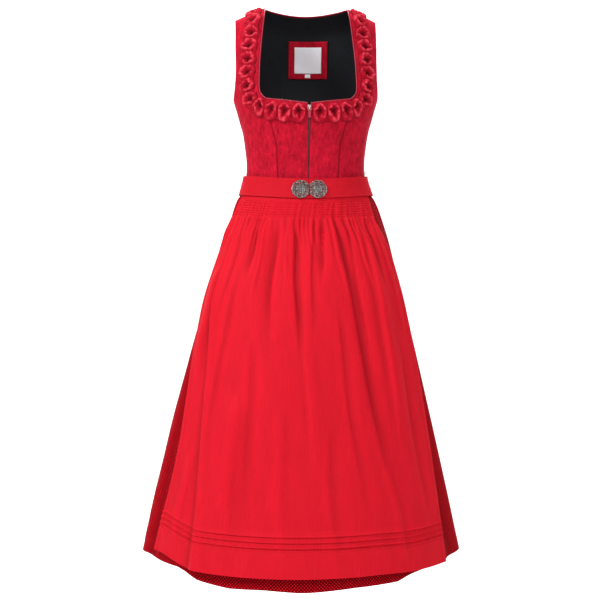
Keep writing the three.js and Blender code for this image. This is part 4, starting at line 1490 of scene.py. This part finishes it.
def apron_drape(degrees, across, level):
    """The apron's billow, folds and creases, and the gathers below the smocking"""
    lifted = BILLOW * smooth(-level, 436, 480) * (1 - 0.6 * smooth(-level, 700, 1050))
    lifted += 2.0 * hanging_creases(APRON_FOLDS, degrees, level, 2.0)
    lifted += OVERLAP_STEP * smooth(degrees - overlap_at(level), -3.0, 0) * smooth(-level, 440, 620)
    lifted += 1.6 * hanging_creases(APRON_CREASES, degrees, level, 1.6)
    sway = 0.2 * np.sin(level / 41 + degrees / 7) * smooth(-level, 434, 470)
    wander = 0.34 * np.sin(21 * across + 1) + 0.22 * np.sin(47 * across)
    gathers = np.abs(np.sin(math.pi * (GATHERS * across + sway + wander))) ** 1.3
    uneven = gather_reach(degrees)
    fall = smooth(-level, 401, 406) * smooth(level, -590 + 70 * uneven, SMOCK_END - 8)
    held = lerp(1, 0.4, smooth(level, SMOCK_END - 6, SMOCK_END))
    lifted += 4.6 * gathers * fall * uneven * held
    return lerp(lifted, least(lifted, LEAST_LIFT - apron_lift(level)), smooth(-level, 434, 450))


def gather_reach(degrees):
    """The gathers run down to uneven places"""
    return 0.62 + 0.38 * np.sin(degrees / 3.1 + 1.7 * np.sin(degrees / 7.7))


def smocking(degrees, across, level):
    """Rows of puffed smocking, with the fine pleats that run into and out of them"""
    sizes = settings().skirt
    starts = smooth(level, SMOCK_END - 2, SMOCK_END + 2)
    ends = smooth(level, SMOCK_TOP, SMOCK_TOP + 3)
    smocked = starts * (1 - ends)
    below = 0.55 * smooth(level, -500 + 24 * gather_reach(degrees), SMOCK_END - 2) * (1 - starts)
    above = 0.5 * ends * (1 - smooth(level, APRON_TOP - 12, APRON_TOP))
    row = (level - SMOCK_END) / (sizes.smock_pitch / MM)
    puffs = np.abs(np.sin(math.pi * row)) ** 0.55
    shift = 0.12 * np.sin(2.1 * np.floor(row) + degrees / 5)
    pleat = 0.5 - 0.5 * np.cos(2 * math.pi * (PLEATS * across + shift * smocked))
    lifted = (sizes.smock_depth / MM) * (puffs * (0.74 + 0.26 * pleat) - 0.7) * smocked
    return lifted + (0.75 * pleat - 0.3) * (below + above)


def tucks_and_hems(degrees, level, up):
    """The tucks and the hem, by the height above the lower edge, and the two side hems"""
    rise = settings().skirt.tuck_rise / MM
    lifted = 0.35 * (1 - smooth(up, HEM_STITCH - 1.5, HEM_STITCH)) - 0.5 * bump(up - HEM_STITCH, 0.9)
    for tuck in TUCKS:
        lifted += rise * smooth(up, tuck - 0.2, tuck + 0.2) * (1 - smooth(up, tuck, tuck + TUCK_HEIGHT))
        lifted -= 0.7 * bump(up - tuck + 0.8, 0.5)
    width = half_width(level) * DEGREE
    side = np.minimum(degrees - apron_right(level), apron_left(level) - degrees) * width
    side_hem = 0.4 * (1 - smooth(side, 9, 10.5)) - 0.45 * bump(side - 10.5, 1.0)
    return lifted + side_hem * smooth(-level, 440, 470)


def apron_relief(degrees, across, level, up):
    """How far the apron's face stands off its plain lie"""
    ripple = 0.25 * np.sin(level / 19 + degrees / 4) * np.sin(degrees / 2.3) * smooth(-level, 470, 560)
    return (apron_drape(degrees, across, level) + smocking(degrees, across, level)
            + tucks_and_hems(degrees, level, up) + ripple)


def apron_places(across, key):
    """Where a place of the apron lies: a key below one counts up through the hem and tucks, and one
    from one to two counts on to the top"""
    low_end = APRON_HEM + HEM_REACH
    level = np.where(key < 1, APRON_HEM + HEM_REACH * key, lerp(low_end, APRON_TOP, key - 1))
    up = np.where(key < 1, HEM_REACH * key, ABOVE_HEM)
    degrees = lerp(apron_right(level), apron_left(level), across)
    near = 1 - smooth(level, low_end, APRON_HEM + 300)
    h = level + (hem_line(degrees) - APRON_HEM) * near
    return degrees, level, up, h


def apron_faces(thickness):
    """The two faces of the apron; the inner one has no tucks or hem and lies smooth under the smocking"""
    def outer(across, key):
        degrees, level, up, h = apron_places(across, key)
        return off_form(degrees * DEGREE, h, apron_lift(level) + apron_relief(degrees, across, level, up))

    def inner(across, key):
        degrees, level, up, h = apron_places(across, key)
        under = apron_relief(degrees, across, level, np.full(up.shape, float(ABOVE_HEM)))
        smocked = smooth(level, SMOCK_END - 4, SMOCK_END)
        under = np.minimum(under, lerp(under, 0.2, smocked))
        return off_form(degrees * DEGREE, h, apron_lift(level) + under - thickness)
    return outer, inner


def build_apron():
    """The apron's panel, with its rows close together at the hem, tucks and smocking"""
    thickness = settings().cloth.apron / MM
    up = [0, 0.4, 1.2, 3, 12, 24, 36, 42, 44, 44.6, 45.1, HEM_STITCH, 45.9, 46.4, 47.2, 50]
    up += [tuck + place for tuck in TUCKS for place in TUCK_PLACES]
    low = np.array(sorted(u for u in up if u < HEM_REACH - 0.1)) / HEM_REACH
    span = APRON_TOP - APRON_HEM - HEM_REACH
    level = np.concatenate([
        np.linspace(APRON_HEM + HEM_REACH, -600, 44), np.linspace(-592, -446, 34),
        np.linspace(-443, -400, 66), np.linspace(-398, APRON_TOP, 9)])
    keys = np.concatenate([low, 1 + (level - APRON_HEM - HEM_REACH) / span])
    outer, inner = apron_faces(thickness)
    columns = steps(PLEATS * 4)
    piece = wall("apron_panel", outer, inner, columns, keys, material("apron_cloth"), coarse=(4, 3))
    # Painted shade in the folds of the apron, by how far each place lies below the cloth beside it
    set_tone(piece, fold_shade_tone(outer, columns, keys, 12, 7.0))
    finish_piece(piece, "apron_cloth", "apron")
    along = np.linspace(0.008, 0.992, 320)
    line = outer(along, np.full(320, HEM_STITCH / HEM_REACH))
    build_stitches("apron_hem_stitches", [line], "red_thread", "apron_cloth")


# Waistband
BAND_TOP = -353
BAND_HEIGHT = 41
BAND_LIFT = 6.2
BAND_STITCH = 3.2
BAND_EDGE_PLACES = (0, 0.5, 1.2, 2.0, 2.6, 3.2, 3.8, 4.4, 5.4)
BAND_PARTS = (("left", 0, 90), ("back", 90, 270), ("right", 270, 360))


def band_faces(start, end, thickness):
    """The two faces of a part of the waistband; the outer one is padded a little and dips at its stitches"""
    margin = settings().cloth.seam / MM / 2

    def face(out, raised):
        def place(across, along):
            h = BAND_TOP - BAND_HEIGHT * (1 - along)
            inset = margin / half_width(h)
            angle = lerp(start * DEGREE + inset, end * DEGREE - inset, across)
            lifted = np.full(angle.shape, float(out))
            if raised:
                edge = np.minimum(along, 1 - along) * BAND_HEIGHT
                lifted += 0.25 * (smooth(edge, 0, 1.5) - 1) - 0.35 * bump(edge - BAND_STITCH, 0.9)
                lifted += 0.22 * np.sin(h / 3.1 + 2.5 * np.sin(7 * angle)) * np.sin(13 * angle + h / 9)
                wave = np.sin(9 * angle + 1) * np.sin((h - BAND_TOP) / 13)
                lifted += 0.45 * wave * smooth(edge, 2, 8)
            return off_form(angle, h, lifted)
        return place
    return face(BAND_LIFT, True), face(BAND_LIFT - thickness, False)


def build_band():
    """The three parts of the waistband, stitched along both edges"""
    thickness = settings().cloth.band / MM
    edge = np.array(BAND_EDGE_PLACES) / BAND_HEIGHT
    rows = joined(edge, 1 - edge, np.linspace(0.16, 0.84, 22))
    lines = []
    for name, start, end in BAND_PARTS:
        outer, inner = band_faces(start, end, thickness)
        columns = steps((end - start) * 2)
        piece = wall(f"waistband_cloth_{name}", outer, inner, columns, rows, material("apron_cloth"),
                     coarse=(2, 1))
        set_tone(piece, rest=BAND_TONE)
        finish_piece(piece, "apron_cloth", f"waistband_{name}")
        along = np.linspace(0.004, 0.996, 300)
        for inset in (BAND_STITCH, BAND_HEIGHT - BAND_STITCH):
            lines.append(outer(along, np.full(300, inset / BAND_HEIGHT)))
    build_stitches("waistband_stitches", lines, "red_thread", "apron_cloth")


# Clasp
CLASP_X = 16.5
CLASP_H = -376
CLASP_LIFT = 7.8
CLASP_RADIUS = 19
CLASP_LOBES = 9
CLASP_GAP = 0.2
WIRE = 0.85
WIRE_SHARE = 0.74
BACKING_SHARE = 1.25
BACKING_DEPTH = 0.75


def dome(x, y, z, radius, rise, rings=6, sides=16):
    """A low round boss standing on its flat side"""
    tilt = np.linspace(0, math.pi / 2, rings)[:-1]
    turn = np.linspace(0, 2 * math.pi, sides, endpoint=False)
    ring = np.stack(np.broadcast_arrays(
        x + radius * np.cos(tilt)[:, None] * np.cos(turn), y + radius * np.cos(tilt)[:, None] * np.sin(turn),
        z + rise * np.sin(tilt)[:, None]), -1)
    numbers = np.arange((rings - 1) * sides).reshape(rings - 1, sides)
    top = (rings - 1) * sides
    faces = quads(np.concatenate([numbers, numbers[:, :1]], axis=1))
    faces += [(int(numbers[-1][k]), int(numbers[-1][(k + 1) % sides]), top) for k in range(sides)]
    faces.append(tuple(int(k) for k in numbers[0][::-1]))
    return np.concatenate([ring.reshape(-1, 3), [[x, y, z + rise]]]), faces


def polar(radius, turn, z):
    return np.stack(np.broadcast_arrays(radius * np.cos(turn), radius * np.sin(turn), z), -1)


def filigree_wires():
    """The lines of one round half, flat: scalloped rim, rings, a petal round each boss and small scrolls"""
    turn = np.linspace(0, 2 * math.pi, 217)
    lobes = np.abs(np.sin(CLASP_LOBES / 2 * turn)) ** 0.8
    wires = [
        (polar(CLASP_RADIUS - WIRE - 1.3 * (1 - lobes), turn, WIRE), WIRE),
        (polar(7.6, turn[::3], 1.3), 0.75),
        (polar(6.0, turn[::3], 1.5), 0.4),
    ]
    for lobe in range(CLASP_LOBES):
        middle = 2 * math.pi * (lobe + 0.5) / CLASP_LOBES
        t = np.linspace(0, 2 * math.pi, 41)
        reach = 12.2 + 3.9 * -np.cos(t)
        sway = 3.5 * np.sin(t) * (1 - 0.35 * np.cos(t)) / reach
        wires.append((polar(reach, middle + sway, 1.5), 0.5))
        between = middle + math.pi / CLASP_LOBES
        curl = np.linspace(0, 1, 41)
        size = 2.0 * (1 - 0.6 * curl)
        x = 14.2 + size * np.cos(8.4 * curl)
        y = size * np.sin(8.4 * curl) * 0.8
        wires.append((polar(np.hypot(x, y), between + np.arctan2(y, x), 1.3), 0.42))
    return wires


def filigree_bosses():
    """Places and sizes of the bosses: in the middle, round it, in the petals, and a ring of beads"""
    bosses = [(0.0, 0.0, 1.4, 2.7, 2.6)]
    for petal in range(8):
        turn = 2 * math.pi * petal / 8
        bosses.append((4.3 * math.cos(turn), 4.3 * math.sin(turn), 1.2, 1.5, 1.7))
    for lobe in range(CLASP_LOBES):
        turn = 2 * math.pi * (lobe + 0.5) / CLASP_LOBES
        bosses.append((12.3 * math.cos(turn), 12.3 * math.sin(turn), 1.2, 1.75, 2.4))
    for bead in range(18):
        turn = 2 * math.pi * bead / 18
        bosses.append((8.9 * math.cos(turn), 8.9 * math.sin(turn), 1.1, 0.6, 0.9))
    return bosses


def clasp_placer(sign):
    """A function that lays the flat points of one half on the waistband, cut where the halves meet"""
    angle = front_angle(CLASP_X * sign, CLASP_H)
    centre = off_form(angle, CLASP_H, CLASP_LIFT)
    normal = form_normal(angle, CLASP_H)
    up = unit(np.array([0.0, 0.0, 1.0]) - normal[2] * normal)
    side = np.cross(up, normal)

    def placed(points):
        x = np.maximum(points[:, 0] * sign, CLASP_GAP - CLASP_X) * sign
        return centre + x[:, None] * side + points[:, 1:2] * up + points[:, 2:] * normal
    return placed


def build_clasp():
    """The two halves: bright filigree with its bosses, over a dark backing that follows it"""
    flat = (0.0, 0.0, 1.0)
    wires = filigree_wires()
    bosses = filigree_bosses()
    bright = [cord_mesh(path, wire * WIRE_SHARE, 8, 1.0, flat) for path, wire in wires]
    bright += [dome(*boss) for boss in bosses]
    dark = [cord_mesh(path - (0, 0, BACKING_DEPTH), wire * BACKING_SHARE, 8, 0.6, flat)
            for path, wire in wires]
    dark += [dome(x, y, 0.2, radius * 1.15, 1.1) for x, y, _, radius, _ in bosses]
    for name, sign in (("left", 1), ("right", -1)):
        placed = clasp_placer(sign)
        for kind, parts, metal in (("filigree", bright, "silver"), ("backing", dark, "recess")):
            points, faces = join_parts(parts)
            piece = make_object(f"clasp_{kind}_{name}", placed(points), faces, material(metal))
            finish_piece(piece, "clasp_metal", f"clasp_{name}")


# Small metal and sewing of the bodice
def build_fittings():
    """The slider, pull and side tag, and the stitches of the placket, patch and label"""
    keep_node("zip_slider", "zip_metal")
    keep_node("zip_pull", "satin")
    keep_node("side_tag", "silver")
    h = np.linspace(-347, -236, 120)
    lines = []
    for x in (-10, 10):
        angle = front_angle(x, h)
        lines.append(off_form(angle, h, VELVET_OUT + bodice_creases(angle, h) + 0.05))
    build_stitches("placket_stitches", lines, "red_thread", "velvet")
    _, patch = patch_faces(VELVET_PATCH)
    _, label = patch_faces(BLANK_LABEL)
    ends = np.linspace(0.03, 0.97, 80)
    low, high = np.full(80, 0.03), np.full(80, 0.97)
    sides = [(low, ends), (high, ends), (ends, low), (ends, high)]
    build_stitches("patch_stitches", [patch(*line) for line in sides], "red_thread", "velvet")
    build_stitches("label_stitches", [label(*line) for line in sides[:2]], "white_thread", "label")


# Stage
CAMERA_AT = Vector((-0.0115, 0.0, -0.5061))
CAMERA_DISTANCE = 2.3
CAMERA_TURN = -3.5 * DEGREE
CAMERA_LENS = 65.7
HORIZON_SHIFT = -50 / 600
FLOOR_Z = -1.435
FLOOR_FRONT = -6.0
FLOOR_BACK = 3.0
FLOOR_CURVE = 1.5
FLOOR_HALF = 7.0
BACKDROP_TOP = 5.0
WORLD_STRENGTH = 0.30


class Lamp(NamedTuple):
    """A square lamp: its place and size in metres, its power in watts and the place that it faces"""
    name: str
    place: tuple
    size: float
    power: float
    target: tuple = (0, 0, -0.55)


LAMPS = (
    Lamp("key_light", (-2.5, -1.6, 1.5), 1.0, 92),
    Lamp("fill_light", (2.5, -1.9, 0.9), 1.4, 18),
    Lamp("neck_light", (0.2, -2.4, 0.7), 0.8, 27, (0, 0, -0.1)),
    Lamp("back_light", (0.6, 2.3, 1.6), 2.0, 14),
    Lamp("top_light", (0.0, 0.2, 2.4), 2.4, 26),
    Lamp("backdrop_light", (0.0, 1.4, 2.6), 3.0, 240, (0.0, 4.2, -0.9)),
)


def build_light(lamp):
    """The light object of a lamp"""
    data = bpy.data.lights.new(lamp.name, "AREA")
    data.shape = "SQUARE"
    data.size = lamp.size
    data.energy = lamp.power
    light = bpy.data.objects.new(lamp.name, data)
    light.location = lamp.place
    light.rotation_euler = (Vector(lamp.target) - Vector(lamp.place)).to_track_quat("-Z", "Y").to_euler()
    bpy.context.collection.objects.link(light)
    return light


def build_floor():
    """A floor that curves up into the backdrop"""
    profile = [(FLOOR_FRONT, FLOOR_Z), (FLOOR_BACK, FLOOR_Z)]
    for turn in np.linspace(0, math.pi / 2, 17)[1:]:
        profile.append((FLOOR_BACK + FLOOR_CURVE * math.sin(turn),
                        FLOOR_Z + FLOOR_CURVE * (1 - math.cos(turn))))
    profile.append((FLOOR_BACK + FLOOR_CURVE, BACKDROP_TOP))
    points = [(x / MM, y / MM, z / MM) for y, z in profile for x in (-FLOOR_HALF, FLOOR_HALF)]
    faces = [(2 * k, 2 * k + 1, 2 * k + 3, 2 * k + 2) for k in range(len(profile) - 1)]
    return make_object("floor", points, faces, material("floor"))


def build_camera():
    """The camera, looking level from the front, its frame shifted to hold the whole dress"""
    data = bpy.data.cameras.new("camera")
    data.lens = CAMERA_LENS
    data.sensor_width = 36
    data.sensor_fit = "HORIZONTAL"
    data.shift_y = HORIZON_SHIFT
    data.dof.use_dof = False
    camera = bpy.data.objects.new("camera", data)
    away = Vector((math.sin(CAMERA_TURN), -math.cos(CAMERA_TURN), 0.0))
    camera.location = CAMERA_AT + away * CAMERA_DISTANCE
    camera.rotation_euler = (-away).to_track_quat("-Z", "Y").to_euler()
    bpy.context.collection.objects.link(camera)
    bpy.context.scene.camera = camera
    return camera


def build_stage():
    """The white studio round the dress: floor, lamps, world and camera"""
    floor = build_floor()
    lights = [build_light(lamp) for lamp in LAMPS]
    world = bpy.data.worlds.new("studio")
    world.use_nodes = True
    background = world.node_tree.nodes["Background"]
    background.inputs["Color"].default_value = (1, 1, 1, 1)
    background.inputs["Strength"].default_value = WORLD_STRENGTH
    bpy.context.scene.world = world
    camera = build_camera()
    bpy.context.scene.view_settings.view_transform = "Standard"


# Operators
class DIRNDL_OT_bodice(bpy.types.Operator):
    """Builds the velvet panels of the bodice"""
    bl_idname = "dirndl.bodice"
    bl_label = "Bodice"

    def execute(self, context):
        build_bodice()
        return {"FINISHED"}


class DIRNDL_OT_lining(bpy.types.Operator):
    """Builds the black lining inside the back, the patch and its blank label"""
    bl_idname = "dirndl.lining"
    bl_label = "Lining and label"

    def execute(self, context):
        build_lining()
        build_labels()
        return {"FINISHED"}


class DIRNDL_OT_neck(bpy.types.Operator):
    """Builds the ruched trim and the satin piping round the neck"""
    bl_idname = "dirndl.neck"
    bl_label = "Neck trim and piping"

    def execute(self, context):
        build_trim()
        build_piping()
        return {"FINISHED"}


class DIRNDL_OT_zip(bpy.types.Operator):
    """Builds the zip's tape and teeth"""
    bl_idname = "dirndl.zip"
    bl_label = "Zip"

    def execute(self, context):
        build_zip()
        return {"FINISHED"}


class DIRNDL_OT_skirt(bpy.types.Operator):
    """Builds the four gathered panels of the skirt"""
    bl_idname = "dirndl.skirt"
    bl_label = "Skirt"

    def execute(self, context):
        build_skirt()
        return {"FINISHED"}


class DIRNDL_OT_apron(bpy.types.Operator):
    """Builds the smocked apron with its tucks and hem"""
    bl_idname = "dirndl.apron"
    bl_label = "Apron"

    def execute(self, context):
        build_apron()
        return {"FINISHED"}


class DIRNDL_OT_band(bpy.types.Operator):
    """Builds the apron's band round the waist"""
    bl_idname = "dirndl.band"
    bl_label = "Waistband"

    def execute(self, context):
        build_band()
        return {"FINISHED"}


class DIRNDL_OT_clasp(bpy.types.Operator):
    """Builds the two filigree halves of the clasp"""
    bl_idname = "dirndl.clasp"
    bl_label = "Clasp"

    def execute(self, context):
        build_clasp()
        return {"FINISHED"}


class DIRNDL_OT_fittings(bpy.types.Operator):
    """Finishes the slider, its pull, the side tag and the bodice's sewing"""
    bl_idname = "dirndl.fittings"
    bl_label = "Fittings and sewing"

    def execute(self, context):
        build_fittings()
        return {"FINISHED"}


class DIRNDL_OT_stage(bpy.types.Operator):
    """Builds the floor, the lights and the camera"""
    bl_idname = "dirndl.stage"
    bl_label = "Stage"

    def execute(self, context):
        build_stage()
        return {"FINISHED"}


OPERATORS = (
    DIRNDL_OT_bodice, DIRNDL_OT_lining, DIRNDL_OT_neck, DIRNDL_OT_zip, DIRNDL_OT_skirt,
    DIRNDL_OT_apron, DIRNDL_OT_band, DIRNDL_OT_clasp, DIRNDL_OT_fittings, DIRNDL_OT_stage,
)


class DIRNDL_PT_pieces(bpy.types.Panel):
    """The dirndl's sizes, colours and pieces"""
    bl_label = "Dirndl"
    bl_idname = "DIRNDL_PT_pieces"
    bl_space_type = "VIEW_3D"
    bl_region_type = "UI"
    bl_category = "Dirndl"

    def draw(self, context):
        dirndl = context.scene.dirndl
        for group in (dirndl.cloth, dirndl.trim, dirndl.skirt, dirndl.colours):
            box = self.layout.box()
            for key in group.bl_rna.properties.keys():
                if key not in ("rna_type", "name"):
                    box.prop(group, key)
        for operator in OPERATORS:
            self.layout.operator(operator.bl_idname)


CLASSES = (
    ClothSettings, TrimSettings, SkirtSettings, ColourSettings, DirndlSettings, *OPERATORS,
    DIRNDL_PT_pieces,
)


def register():
    for each in CLASSES:
        bpy.utils.register_class(each)
    bpy.types.Scene.dirndl = bpy.props.PointerProperty(type=DirndlSettings)


def unregister():
    del bpy.types.Scene.dirndl
    for each in reversed(CLASSES):
        bpy.utils.unregister_class(each)


def main():
    register()
    for operator in OPERATORS:
        group, name = operator.bl_idname.split(".")
        getattr(getattr(bpy.ops, group), name)()


if __name__ == "__main__":
    main()
